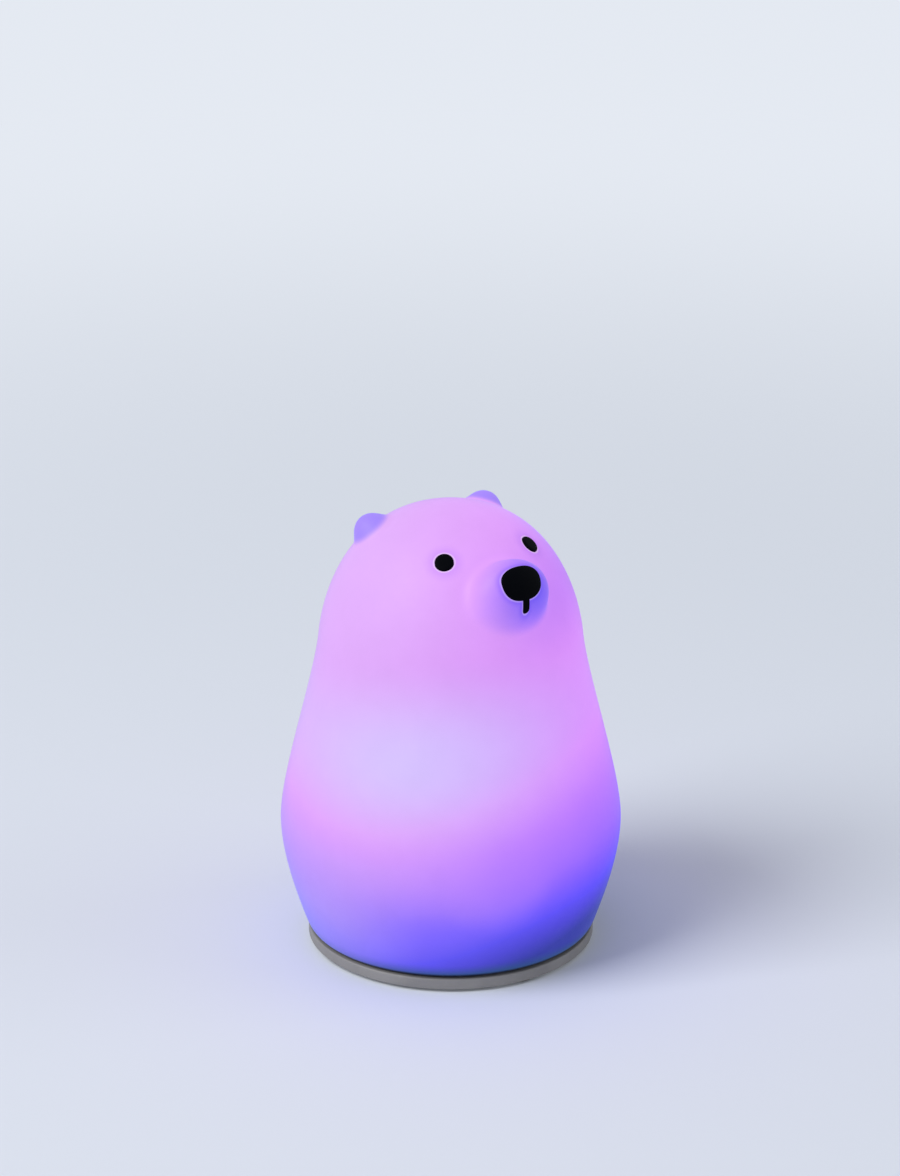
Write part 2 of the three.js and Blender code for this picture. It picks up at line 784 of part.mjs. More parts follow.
function cell() {
  const half = cellLength / 2;
  const profile = [
    point(0, -half),
    point(cellRadius - cellEdge, -half),
    point(cellRadius, cellEdge - half),
    point(cellRadius, half - cellEdge),
    point(cellRadius - cellEdge, half),
    point(0, half),
  ];
  const body = turned(profile, 24).rotateY(Math.PI / 2).translate(0, -cellForward, cellZ);
  piece('battery_cell', body, materials.cellSleeve);
  const padTop = floorTop + cellPadThickness;
  const padLength = 2 * (cradleSpread - cradleRibThickness / 2 - seat);
  const pad = centredBlock(0, -cellForward, padLength, cellPadWidth, floorTop, padTop);
  piece('battery_pad', pad, materials.foam);
  for (const side of [-1, 1]) {
    const x = side * (half + seat + tabThickness / 2);
    const [bottom, top] = [cellZ - tabHeight / 2, cellZ + tabHeight / 2];
    const tab = centredBlock(x, -cellForward, tabThickness, tabWidth, bottom, top);
    piece(side < 0 ? 'battery_tab_left' : 'battery_tab_right', tab, materials.steel);
  }
}

function controlBoard() {
  const tongueEnd = skinAt(socketZ).radius - panelInset - panelThickness - tongueSetback;
  const outline = new THREE.Shape([
    point(-boardHalfWidth, boardFront),
    point(boardHalfWidth, boardFront),
    point(boardHalfWidth, boardShoulder),
    point(tongueHalfWidth, boardShoulder),
    point(tongueHalfWidth, tongueEnd),
    point(-tongueHalfWidth, tongueEnd),
    point(-tongueHalfWidth, boardShoulder),
    point(-boardHalfWidth, boardShoulder),
  ]);
  for (const side of [-1, 1]) {
    const hole = new THREE.Path();
    hole.absarc(side * boardScrewSpread, boardScrewY, screwShank + seat, 0, 2 * Math.PI);
    outline.holes.push(hole);
  }
  piece('control_board', slab(outline, boardBottom, boardTop), materials.board);
  chargeLight(tongueEnd - over);
}

// The socket's metal shell is open to the back and closed behind, and a tongue stands in it.
function chargingSocket() {
  const mouth = skinAt(socketZ).radius - panelInset - socketSunk;
  const back = mouth - socketLength;
  const outer = roundedShape(0, socketZ, socketWidth, socketHeight, socketHeight / 2 - 0.01);
  const [width, height] = [socketWidth - 2 * socketWall, socketHeight - 2 * socketWall];
  const inner = roundedShape(0, socketZ, width, height, height / 2 - 0.01);
  const hollow = prism(inner, back + socketBackWall, mouth + over);
  piece('charging_socket', solid(prism(outer, back, mouth)).subtract(solid(hollow)), materials.steel);
  const half = socketTongueThickness / 2;
  const start = back + socketBackWall + seat;
  const tongue = block(-socketTongueWidth / 2, socketTongueWidth / 2, start, start + socketTongueLength,
    socketZ - half, socketZ + half);
  piece('charging_socket_tongue', tongue, materials.blackPlastic);
}

// A small light on the board's tongue shines through a clear pipe that ends in the rear panel.
function chargeLight(face) {
  const middle = face - chargeLightSize / 2;
  const top = socketZ + chargeLightSize / 2;
  piece('charge_light', centredBlock(lightPipeSide, middle, chargeLightSize, chargeLightSize, boardTop, top),
    materials.ledWhite);
  const end = Math.sqrt((skinAt(socketZ).radius - panelInset) ** 2 - lightPipeSide ** 2);
  const pipe = rod(lightPipeRadius, face + seat, end, 12).rotateX(-Math.PI / 2);
  piece('charge_light_pipe', pipe.translate(lightPipeSide, 0, socketZ), materials.clear);
}

// A slide switch hangs under the board, and a knob carries its lever along X through the cover.
function powerSlide() {
  const at = (width, depth, z0, z1) => solid(centredBlock(switchAcross, switchY, width, depth, z0, z1));
  const middle = switchAcross - switchTravel / 2;
  const bodyBottom = boardBottom - switchHeight;
  const pocketTop = boardBottom - switchWall;
  const pocketWidth = leverHead + switchTravel + 2 * seat;
  const pocketDepth = switchDepth - 2 * switchWall;
  const pocket = centredBlock(middle, switchY, pocketWidth, pocketDepth, bodyBottom - over, pocketTop);
  const body = centredBlock(middle, switchY, switchWidth, switchDepth, bodyBottom, boardBottom);
  piece('power_switch_body', solid(body).subtract(solid(pocket)), materials.steel);

  const plateTop = floorTop + seat + knobPlate;
  const gripBottom = standHeight + controlSunk;
  const stemBottom = gripBottom + knobPlate;
  const headBottom = bodyBottom + seat;
  const head = at(leverHead, pocketDepth - 2 * seat, headBottom, pocketTop - seat);
  const stem = at(leverStem, leverStem, stemBottom + seat, headBottom + over);
  piece('power_switch_lever', head.add(stem), materials.blackPlastic);

  const plateWidth = knobWidth + 2 * knobLap + switchTravel;
  const plate = at(plateWidth, knobDepth + 2 * knobLap, floorTop + seat, plateTop);
  let knob = plate.add(at(knobWidth, knobDepth, gripBottom, plateTop));
  knob = knob.subtract(at(leverStem + 2 * seat, leverStem + 2 * seat, stemBottom, plateTop + over));
  for (let i = 0; i < knobRibs; i++) {
    const x = switchAcross + (i - (knobRibs - 1) / 2) * (knobWidth / (knobRibs + 0.5));
    const groove = centredBlock(x, switchY, knobRibDepth, knobDepth + over, 0, gripBottom + knobRibDepth);
    knob = knob.subtract(solid(groove));
  }
  piece('power_slide_knob', knob, materials.greyKnob);
}

// A button drops through the cover and pushes the plunger of a small switch under the board.
function modeButton() {
  const tactBottom = boardBottom - tactHeight;
  const plungerTop = tactBottom + plungerDepth;
  const flangeBase = floorTop + seat;
  const flangeTop = flangeBase + buttonFlange;
  const bore = rod(plungerRadius + seat, tactBottom - over, plungerTop + buttonTravel + seat, 16);
  const block = solid(centredBlock(buttonAcross, switchY, tactSize, tactSize, tactBottom, boardBottom));
  const body = block.subtract(solid(bore.translate(buttonAcross, switchY, 0)));
  piece('mode_switch_body', body, materials.blackPlastic);
  const plunger = rod(plungerRadius, flangeTop + seat, plungerTop, 16);
  piece('mode_switch_plunger', plunger.translate(buttonAcross, switchY, 0), materials.greyKnob);

  const bottom = standHeight + controlSunk;
  const profile = [
    point(0, bottom + buttonDish),
    point(buttonRadius * 0.6, bottom + buttonDish / 2),
    point(buttonRadius * 0.85, bottom),
    point(buttonRadius, bottom + buttonEdge),
    point(buttonRadius, flangeBase),
    point(buttonRadius + buttonLap, flangeBase),
    point(buttonRadius + buttonLap, flangeTop),
    point(0, flangeTop),
  ];
  piece('mode_button', turned(profile, 16).translate(buttonAcross, switchY, 0), materials.greyKnob);
}

function boardParts() {
  for (const [name, chip] of Object.entries(chips)) {
    const y = boardFront + chip.back;
    const shape = centredBlock(chip.across, y, chip.width, chip.depth, boardTop, boardTop + chip.height);
    piece(name, shape, name === 'storage_coil' ? materials.copper : materials.blackPlastic);
  }
  const can = rod(tapSensorRadius, boardTop, boardTop + tapSensorHeight, 16);
  piece('tap_sensor', can.translate(tapSensorAcross, boardFront + tapSensorBack, 0), materials.steel);
}

// The battery plug stands in a tray on the board, and its two leads run round the ends of the cell.
function batteryLeads() {
  const at = (grow, z0, z1) => {
    return solid(centredBlock(plugAcross, plugY, plugWidth + 2 * grow, plugDepth + 2 * grow, z0, z1));
  };
  const trayTop = boardTop + trayHeight;
  const tray = at(seat + plugWall, boardTop, trayTop).subtract(at(seat, boardTop + plugWall, trayTop + over));
  piece('battery_socket', tray, materials.connector);
  piece('battery_plug', at(0, plugTop - plugHeight, plugTop), materials.connector);
  for (const side of [-1, 1]) {
    const x = side * (cellLength / 2 + 2 * seat + tabThickness + leadRadius);
    const y = -cellForward;
    const entry = plugAcross + side * plugWidth * 0.25;
    const route = new THREE.CatmullRomCurve3([
      new THREE.Vector3(x, y, cellZ),
      new THREE.Vector3(x, y + tabWidth / 2, cellZ + leadLift * 0.3),
      new THREE.Vector3(x - side, y + cellRadius + leadSwing, cellZ + leadLift),
      new THREE.Vector3(x * 0.72, plugY - leadRadius, plugTop + leadRadius),
      new THREE.Vector3(x * 0.3, plugY, plugTop + leadArch),
      new THREE.Vector3(entry, plugY, plugTop + leadArch * 0.75),
      new THREE.Vector3(entry, plugY, plugTop + seat),
    ]);
    const name = side < 0 ? 'battery_lead_black' : 'battery_lead_red';
    piece(name, tube(route, leadRadius, 16), side < 0 ? materials.black : materials.red);
  }
}

function tube(route, radius, steps) {
  const section = new THREE.Shape();
  section.absarc(0, 0, radius, 0, 2 * Math.PI);
  const ring = new THREE.Shape(section.getPoints(2).slice(0, -1));
  return new THREE.ExtrudeGeometry(ring, { steps, extrudePath: route });
}

// A flat lead climbs from the control board to a header on the LED board.
function lampLead() {
  const socketTop = boardTop + flatPlugHeight;
  const at = (width, depth, z0, z1) => centredBlock(flatLeadAcross, flatLeadY, width, depth, z0, z1);
  const width = flatLeadWidth + 2 * flatPlugWall;
  piece('led_lead_socket', at(width, flatPlugDepth, boardTop, socketTop), materials.connector);
  piece('led_lead', at(flatLeadWidth, flatLeadThickness, socketTop + seat, lampTop - seat), materials.black);
  piece('led_header', at(width, flatPlugDepth, lampTop, lampTop + headerHeight), materials.connector);
}

function lamp() {
  let plate = solid(rod(lampPlateRadius, housingTop, lampTop, 36));
  for (const turn of lampScrewTurns) {
    const at = around(lampScrewCircle, turn);
    const hole = rod(screwShank + seat, housingTop - over, lampTop + over, 8);
    plate = plate.subtract(solid(hole.translate(at.x, at.y, 0)));
  }
  plate = plate.subtract(solid(flatLeadHole(housingTop - over, lampTop + over)));
  piece('led_board', plate, materials.lampBoard);
  for (let i = 0; i < ledCount; i++) {
    const turn = ((i + 0.5) * 360) / ledCount;
    const at = around(ledCircle, turn);
    const top = lampTop + ledHeight;
    const chip = solid(centredBlock(0, 0, ledSize, ledSize, lampTop, top));
    const lens = solid(rod(lensRadius, top - over, top + lensHeight, 12));
    piece(`led_${i + 1}`, geometryOf(chip.add(lens)).translate(at.x, at.y, 0), materials.ledWhite);
  }
}

// The diffuser is an opal dome on a rim that drops into the housing.
function diffuser() {
  const rimTop = housingTop + diffuserWall;
  const dome = (radius, height, steps) => {
    const points = [];
    for (let i = 0; i <= steps; i++) {
      const angle = (i / steps) * (Math.PI / 2);
      points.push(point(i < steps ? radius * Math.cos(angle) : 0, rimTop + height * Math.sin(angle)));
    }
    return points;
  };
  const outer = dome(diffuserRadius, diffuserHeight, 8);
  const inner = dome(diffuserRadius - diffuserWall, diffuserHeight - diffuserWall, 6).reverse();
  const profile = [
    ...inner,
    point(diffuserRadius - diffuserWall, housingTop),
    point(diffuserRim, housingTop),
    point(diffuserRim, rimTop),
    ...outer,
  ];
  piece('lamp_diffuser', turned(profile, coreSides), materials.opal);
}

shade();
cover();
housing();
fasteners();
cell();
controlBoard();
chargingSocket();
powerSlide();
modeButton();
boardParts();
batteryLeads();
lampLead();
lamp();
diffuser();

export default light;
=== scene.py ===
# %% [markdown]
# # A bear-shaped night light
#
# The light is a hollow silicone bear that glows, clamped on a thin round base of plastic. Its
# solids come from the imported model, and each step below gives one of them its real surface. A
# step first says what the piece is on the real light, and why it is made the way it is. Sizes
# are in millimetres until they reach Blender, which works in metres.

# %% The solids and the tools
import json
import math

import bmesh
import bpy
import numpy as np
from mathutils import Matrix, Vector

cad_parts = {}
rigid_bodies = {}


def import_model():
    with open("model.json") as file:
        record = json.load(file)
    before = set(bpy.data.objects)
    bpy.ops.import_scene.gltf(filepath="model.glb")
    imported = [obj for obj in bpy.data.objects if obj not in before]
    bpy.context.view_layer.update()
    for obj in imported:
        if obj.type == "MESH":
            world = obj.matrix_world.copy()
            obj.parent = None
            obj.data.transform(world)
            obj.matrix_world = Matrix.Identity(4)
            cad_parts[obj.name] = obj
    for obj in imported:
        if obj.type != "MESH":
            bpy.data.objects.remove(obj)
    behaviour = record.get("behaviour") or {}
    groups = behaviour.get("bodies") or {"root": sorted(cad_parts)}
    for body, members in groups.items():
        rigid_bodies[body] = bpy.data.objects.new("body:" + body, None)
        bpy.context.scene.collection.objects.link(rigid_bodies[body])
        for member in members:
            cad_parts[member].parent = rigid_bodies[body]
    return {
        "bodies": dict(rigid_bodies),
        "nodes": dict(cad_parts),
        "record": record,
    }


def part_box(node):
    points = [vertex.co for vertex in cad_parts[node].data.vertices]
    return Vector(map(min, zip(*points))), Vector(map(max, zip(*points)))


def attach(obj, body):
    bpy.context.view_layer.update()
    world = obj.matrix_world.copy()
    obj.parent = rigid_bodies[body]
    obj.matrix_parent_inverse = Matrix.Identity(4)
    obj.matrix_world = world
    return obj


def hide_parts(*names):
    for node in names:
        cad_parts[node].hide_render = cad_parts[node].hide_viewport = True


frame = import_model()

MM = 0.001
scene = bpy.context.scene
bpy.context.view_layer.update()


def placed(name, data):
    """A new object in the scene, at the origin."""
    thing = bpy.data.objects.new(name, data)
    scene.collection.objects.link(thing)
    return thing


def add_piece(name, points, faces=()):
    """A mesh object from points in millimetres."""
    mesh = bpy.data.meshes.new(name)
    mesh.from_pydata((np.array(points, float) * MM).tolist(), [], faces)
    return placed(name, mesh)


print("Solids:", len(frame["nodes"]), "bodies:", list(frame["bodies"]))

# %% [markdown]
# ## Camera
#
# The picture was taken from a little above, with a long lens, from the bear's right side. The
# place and the tilt were worked out from the outline of the body and the ellipse of the base.

# %% Camera
DISTANCE, AIM_HEIGHT = 1200, 70
RISE, TURN, TILT, YAW = [math.radians(angle) for angle in (22.38, -32.16, 90 - 20.4, 0.013)]
LENS, SENSOR_WIDTH, SIGHT_END = 119.53, 36, 50

camera = placed("camera", bpy.data.cameras.new("camera"))
away, height = DISTANCE * math.cos(RISE), AIM_HEIGHT + DISTANCE * math.sin(RISE)
camera.location = Vector((away * math.sin(TURN), -away * math.cos(TURN), height)) * MM
camera.rotation_euler = (TILT, 0, TURN + YAW)
camera.data.lens = LENS
camera.data.sensor_width = SENSOR_WIDTH
camera.data.clip_end = SIGHT_END
scene.camera = camera
scene.view_settings.view_transform = "Standard"
print("Camera at", [round(v, 3) for v in camera.location])

# %% [markdown]
# ## Writing node trees as sums
#
# A material or a Geometry Nodes tree is a long formula. Python can write it as one: a Wire
# stands for a node's output, and adding or multiplying two of them adds the Math node that does
# it. Vectors have a few nodes of their own, and every other node is made by one method.

# %% Wires
class Wire:
    """One output of a node. Arithmetic on it adds the nodes that work it out."""

    def __init__(self, graph, socket):
        self.graph = graph
        self.socket = socket

    def __neg__(self):
        return self.graph.maths("MULTIPLY", self, -1)

    def __abs__(self):
        return self.graph.maths("ABSOLUTE", self)

    def also(self, name):
        """Another output of the same node."""
        return Wire(self.graph, self.socket.node.outputs[name])


def overload(name, operation):
    """Lets an operator and its reflected form, as in 1 - mask, add a Math node."""
    setattr(Wire, f"__{name}__", lambda a, b: a.graph.maths(operation, a, b))
    setattr(Wire, f"__r{name}__", lambda b, a: b.graph.maths(operation, a, b))


OPERATORS = {"add": "ADD", "sub": "SUBTRACT", "mul": "MULTIPLY", "truediv": "DIVIDE",
             "mod": "FLOORED_MODULO", "pow": "POWER"}
for name, operation in OPERATORS.items():
    overload(name, operation)
print("Wires know", *OPERATORS)

# %% Trees
def paint(red, green, blue):
    """A colour as the eye reads it, 0 to 255, in the values that light adds up in."""
    shares = [value / 255 for value in (red, green, blue)]
    return tuple(s / 12.92 if s <= 0.04045 else ((s + 0.055) / 1.055) ** 2.4 for s in shares)


class Graph:
    """A node tree that is filled by short calls."""

    def __init__(self, tree):
        self.tree = tree

    def add(self, kind, sockets=(), out=0, **settings):
        """Any node: its settings are set first, then the values or wires of its sockets."""
        node = self.tree.nodes.new(kind)
        for name, value in settings.items():
            if name == "stops":
                self.set_stops(node.color_ramp, value)
            else:
                setattr(node, name, value)
        for key, value in dict(sockets).items():
            if isinstance(value, Wire):
                self.tree.links.new(value.socket, node.inputs[key])
            else:
                node.inputs[key].default_value = value
        return Wire(self, node.outputs[out]) if len(node.outputs) else None

    def set_stops(self, ramp, stops):
        while len(ramp.elements) < len(stops):
            ramp.elements.new(1)
        for element, (place, colour) in zip(ramp.elements, stops):
            element.position = place
            element.color = (*paint(*colour), 1)

    def maths(self, operation, *values):
        return self.add("ShaderNodeMath", enumerate(values), operation=operation)

    def vector(self, operation, *values, out=0):
        return self.add("ShaderNodeVectorMath", enumerate(values), out, operation=operation)

    def scaled(self, vector, factor):
        return self.add("ShaderNodeVectorMath", {0: vector, "Scale": factor}, operation="SCALE")

    def length(self, vector):
        return self.vector("LENGTH", vector, out="Value")

    def dot(self, a, b):
        return self.vector("DOT_PRODUCT", a, b, out="Value")

    def split(self, vector):
        x = self.add("ShaderNodeSeparateXYZ", {0: vector})
        return x, x.also("Y"), x.also("Z")

    def join(self, x, y, z):
        return self.add("ShaderNodeCombineXYZ", {0: x, 1: y, 2: z})

    def sine(self, angle):
        return self.maths("SINE", angle)

    def smaller(self, a, b):
        return self.maths("MINIMUM", a, b)

    def larger(self, a, b):
        return self.maths("MAXIMUM", a, b)


def bare_tree(owner):
    """The node tree of a material or world, with nothing in it."""
    owner.use_nodes = True
    owner.node_tree.nodes.clear()
    return owner.node_tree


# %% [markdown]
# ## Stage and light
#
# A lamp that glows by itself needs little from the studio: a large soft lamp on one side, a
# weak one on the other, and a pale room. The floor is one flat plane. Near the bear it is plain
# paint, which takes the shadow and the glow, and further out it turns into the room's own
# colour, so that no line shows between them. From below it can be looked through, and a weak
# lamp under it lights what faces down: the feet, the screws, the slide and the button. It lies
# a hair below the feet, because two faces in one plane would flicker through each other.

# %% Floor
FLOOR_PAINT, FLOOR_ROUGHNESS = (0.68, 0.72, 0.79), 0.85
ROOM_SEEN = (0.78, 0.82, 0.89)
FLOOR_HALF, FLOOR_DROP = 12000, 0.02
FADE_START, FADE_END = 0.2, 1.1


def looked_at(g):
    """1 for rays that the camera sees, straight or by way of gloss or glass."""
    ray = g.add("ShaderNodeLightPath", out="Is Camera Ray")
    return g.larger(g.larger(ray, ray.also("Is Glossy Ray")), ray.also("Is Transmission Ray"))


def stage_material():
    material = bpy.data.materials.new("pale_floor")
    g = Graph(bare_tree(material))
    place = g.add("ShaderNodeTexCoord", out="Object")
    grain = g.add("ShaderNodeTexNoise", {"Vector": place, "Scale": 900, "Detail": 3})
    bump = g.add("ShaderNodeBump", {"Strength": 0.08, "Distance": 0.3 * MM, "Height": grain})
    matt = {"Base Color": (*FLOOR_PAINT, 1), "Roughness": FLOOR_ROUGHNESS, "Normal": bump}
    near = g.add("ShaderNodeBsdfPrincipled", matt)
    room = g.add("ShaderNodeEmission", {"Color": (*ROOM_SEEN, 1), "Strength": 1.0})
    fade = {"Value": g.length(place), "From Min": FADE_START, "From Max": FADE_END}
    far = g.add("ShaderNodeMapRange", fade, interpolation_type="SMOOTHERSTEP")
    floor = g.add("ShaderNodeMixShader", {0: far * looked_at(g), 1: near, 2: room})
    below = g.add("ShaderNodeNewGeometry", out="Backfacing")
    shadow = g.add("ShaderNodeLightPath", out="Is Shadow Ray")
    clear = g.add("ShaderNodeBsdfTransparent")
    mixed = g.add("ShaderNodeMixShader", {0: g.larger(below, shadow), 1: floor, 2: clear})
    g.add("ShaderNodeOutputMaterial", {"Surface": mixed})
    return material


far, low = FLOOR_HALF, -FLOOR_DROP
corners = [(-far, -far, low), (far, -far, low), (far, far, low), (-far, far, low)]
floor = add_piece("floor", corners, [(0, 1, 2, 3)])
floor.data.materials.append(stage_material())

# %% Room and lamps
ROOM_PAINT, ROOM_LIGHT = (0.86, 0.88, 0.92), 0.5
# Each lamp's name, place, size and power
LAMPS = [
    ("key", (-2.6, 0.15, 2.6), 2.0, 102),
    ("fill", (1.8, -1.3, 1.3), 1.8, 9),
    ("under", (0, 0, -0.9), 1.2, 7),
]

scene.world = bpy.data.worlds.new("pale_room")
g = Graph(bare_tree(scene.world))
soft = g.add("ShaderNodeBackground", {"Color": (*ROOM_PAINT, 1), "Strength": ROOM_LIGHT})
seen = g.add("ShaderNodeBackground", {"Color": (*ROOM_SEEN, 1), "Strength": 1.0})
both = g.add("ShaderNodeMixShader", {0: looked_at(g), 1: soft, 2: seen})
g.add("ShaderNodeOutputWorld", {"Surface": both})

# Square soft lamps that look at the bear, unseen themselves
for name, place, size, power in LAMPS:
    lamp = bpy.data.lights.new(name, "AREA")
    lamp.size = size
    lamp.energy = power
    holder = placed(name, lamp)
    holder.location = place
    holder.rotation_euler = (-Vector(place)).to_track_quat("-Z", "Y").to_euler()
    holder.visible_camera = False
print("Lamps:", len(LAMPS))

# %% [markdown]
# ## The line of the body
#
# Seen from the side, the silicone body is one soft line: a hem that stands a little over the
# base, a full belly, a long lean to the neck and a round crown. Bezier curves are drawn through
# these places, and the wall's inside follows the same line at the wall's thickness.

# %% Sizes of the body
LIP_BOTTOM, LIP_TOP, MOUTH_RADIUS = 4.7, 6.9, 36.32
HEM_RADIUS, HEM_Z, HEM_ROUND, HEM_FLARE = 45.42, 8.0, 3.5, 0.35
BELLY_RADIUS, BELLY_Z, BELLY_ROUND, WAIST_ROUND = 52.62, 39.8, 10, 13
NECK_RADIUS, NECK_Z, NECK_ROUND, NECK_LEAN = 40.32, 99.8, 14, 0.1
CROWN_Z, CROWN_ROUND = 140.8, 30
WALL = 2.5


def bezier(points, count):
    """Places and directions along a Bezier curve of any degree."""
    spots, ways = [], []
    for share in np.linspace(0, 1, count):
        row = np.array(points, float)
        while len(row) > 2:
            row = row[:-1] * (1 - share) + row[1:] * share
        ways.append(row[1] - row[0])
        spots.append(row[0] * (1 - share) + row[1] * share)
    ways = np.array(ways)
    return np.array(spots), ways / np.linalg.norm(ways, axis=1)[:, None]


def body_line(counts):
    """Places (radius, height) up the skin, with their outward directions."""
    lip, hem = (HEM_RADIUS - HEM_ROUND, LIP_BOTTOM), (HEM_RADIUS, HEM_Z)
    belly, neck = (BELLY_RADIUS, BELLY_Z), (NECK_RADIUS, NECK_Z)

    def up(spot, rise, lean=0):
        return spot[0] + rise * lean, spot[1] + rise

    spans = [
        [lip, up(hem, LIP_BOTTOM - HEM_Z, HEM_FLARE), hem],
        [hem, up(hem, BELLY_ROUND, HEM_FLARE), up(belly, -BELLY_ROUND), belly],
        [belly, up(belly, WAIST_ROUND), up(neck, -NECK_ROUND, -NECK_LEAN), neck],
        [neck, up(neck, NECK_ROUND, -NECK_LEAN), (CROWN_ROUND, CROWN_Z), (0, CROWN_Z)],
    ]
    spots, ways = [], []
    for points, count in zip(spans, counts):
        spot, way = bezier(points, count)
        first = 1 if spots else 0
        spots.append(spot[first:])
        ways.append(way[first:])
    spots, ways = np.vstack(spots), np.vstack(ways)
    return spots, np.stack([ways[:, 1], -ways[:, 0]], axis=1)


fine_line, fine_out = body_line((8, 40, 60, 160))
print("Body line:", len(fine_line), "points, widest", round(fine_line[:, 0].max(), 2), "mm")

# %% [markdown]
# ## Meshes from lines and outlines
#
# Most pieces of the light are turned on one axis or cut from a flat outline, so a few small
# builders are enough. A finished piece keeps its object at the origin and its place in its mesh.

# %% Builders
def turned(name, profile, sides):
    """Turns a line of (radius, height) places, from the axis below to the axis above."""
    points, faces, rings = [], [], []
    for radius, height in profile:
        count = 1 if radius < 1e-6 else sides
        rings.append([len(points) + i for i in range(count)])
        for i in range(count):
            angle = 2 * math.pi * i / sides
            points.append((radius * math.cos(angle), radius * math.sin(angle), height))
    for low, high in zip(rings, rings[1:]):
        for i in range(sides):
            j = (i + 1) % sides
            corners = [(low, i), (low, j), (high, j), (high, i)]
            faces.append(list(dict.fromkeys(ring[k % len(ring)] for ring, k in corners)))
    return add_piece(name, points, faces)


def drum(name, radius, low, high, sides):
    """A plain round bar between two heights."""
    return turned(name, [(0, low), (radius, low), (radius, high), (0, high)], sides)


def hoop(name, loop, sides):
    """Turns a closed loop of (radius, height) places, up on the outside and down on the inside."""
    points, faces, rows = [], [], len(loop)
    for i in range(sides):
        angle = 2 * math.pi * i / sides
        points += [(r * math.cos(angle), r * math.sin(angle), z) for r, z in loop]
        here, there = i * rows, (i + 1) % sides * rows
        for k in range(rows):
            above = (k + 1) % rows
            faces.append([here + k, there + k, there + above, here + above])
    return add_piece(name, points, faces)


def prism(name, outline, z0, z1):
    """Raises a flat outline, which runs anticlockwise, from z0 to z1."""
    count = len(outline)
    points = [(x, y, z) for z in (z0, z1) for x, y in outline]
    faces = [list(range(count))[::-1], list(range(count, 2 * count))]
    faces += [[i, (i + 1) % count, count + (i + 1) % count, count + i] for i in range(count)]
    return add_piece(name, points, faces)


print("Builders: turned, drum, hoop and prism")

# %% Cuts, rounded edges and finished pieces
FINISHES = {}
BODY = "base"
ALONG_AXIS = 0.9999


def moved(piece, matrix):
    piece.data.transform(matrix)
    return piece


def baked(piece):
    """Turns a piece with modifiers into a plain mesh."""
    state = piece.evaluated_get(bpy.context.evaluated_depsgraph_get())
    mesh = bpy.data.meshes.new_from_object(state)
    piece.modifiers.clear()
    piece.data = mesh
    return piece


def joined(piece, tool, operation, solver="EXACT"):
    """Adds, cuts or keeps the space that another piece takes, and uses that piece up."""
    step = piece.modifiers.new(operation, "BOOLEAN")
    step.operation = operation
    step.solver = solver
    step.object = tool
    baked(piece)
    bpy.data.objects.remove(tool)
    return piece


def softened(piece, width, segments=3, angle=35):
    """Rounds the sharp edges of a piece."""
    step = piece.modifiers.new("Round", "BEVEL")
    step.width = width * MM
    step.segments = segments
    step.angle_limit = math.radians(angle)
    return baked(piece)


def finished(piece, slot, *nodes, angle=35, flat=False):
    """Shades a piece, where asked flat along the axes, and lets it stand for its solids."""
    piece.data.shade_smooth()
    piece.data.set_sharp_from_angle(angle=math.radians(angle))
    if flat:
        for face in piece.data.polygons:
            face.use_smooth = max(abs(part) for part in face.normal) < ALONG_AXIS
    piece.data.materials.clear()
    piece.data.materials.append(FINISHES[slot])
    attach(piece, BODY)
    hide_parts(*nodes)
    print(piece.name, len(piece.data.polygons), "faces")


print("A finished piece rides on", BODY)

# %% [markdown]
# ## Finishes
#
# Every finish below is drawn by nodes in the object's own coordinates, so it stays on the piece
# from every side. Moulded plastic has a fine grain, metal is drawn in one direction, rubber is
# dull and a little dusty, and each has slow changes of tone that keep it from looking flat.

# %% Helpers for finishes
class Finish(Graph):
    """A material under construction, with its places in millimetres."""

    def __init__(self, name):
        self.material = bpy.data.materials.new(name)
        super().__init__(bare_tree(self.material))
        self.place = self.scaled(self.add("ShaderNodeTexCoord", out="Object"), 1 / MM)

    def noise(self, scale, detail=3, at=None):
        sockets = {"Vector": at or self.place, "Scale": scale, "Detail": detail}
        return self.add("ShaderNodeTexNoise", sockets)

    def cells(self, scale):
        return self.add("ShaderNodeTexVoronoi", {"Vector": self.place, "Scale": scale}, "Distance")

    def smooth(self, value, low, high):
        """0 below low and 1 above high, with a soft change between."""
        sockets = {"Value": value, "From Min": low, "From Max": high}
        return self.add("ShaderNodeMapRange", sockets, interpolation_type="SMOOTHSTEP")

    def faded(self, value, low, high):
        """1 below low and 0 above high."""
        return 1 - self.smooth(value, low, high)

    def from_spot(self, spot):
        """The way from a spot to each place."""
        return self.vector("SUBTRACT", self.place, spot)

    def between(self, share, a, b):
        """Blends what a Mix node takes in its colour sockets, 6 and 7."""
        return self.add("ShaderNodeMix", {0: share, 6: a, 7: b}, 2, data_type="RGBA")

    def mix(self, share, a, b):
        """Blends two colours, each a wire or three numbers as the eye reads them."""
        a, b = [c if isinstance(c, Wire) else (*paint(*c), 1) for c in (a, b)]
        return self.between(share, a, b)

    def tinted(self, share, colour, tint):
        """Multiplies a colour by a tint, as far as the share says."""
        return self.vector("MULTIPLY", colour, self.between(share, (1, 1, 1, 1), (*tint, 1)))

    def done(self, tone, rough, relief, depth, **more):
        """The surface, with its relief's depth in millimetres and what else it has."""
        bump = self.add("ShaderNodeBump", {"Height": relief, "Distance": depth * MM})
        sockets = {"Base Color": tone, "Roughness": rough, "Normal": bump}
        sockets |= {key.replace("_", " "): value for key, value in more.items()}
        surface = self.add("ShaderNodeBsdfPrincipled", sockets)
        self.add("ShaderNodeOutputMaterial", {"Surface": surface})
        return self.material


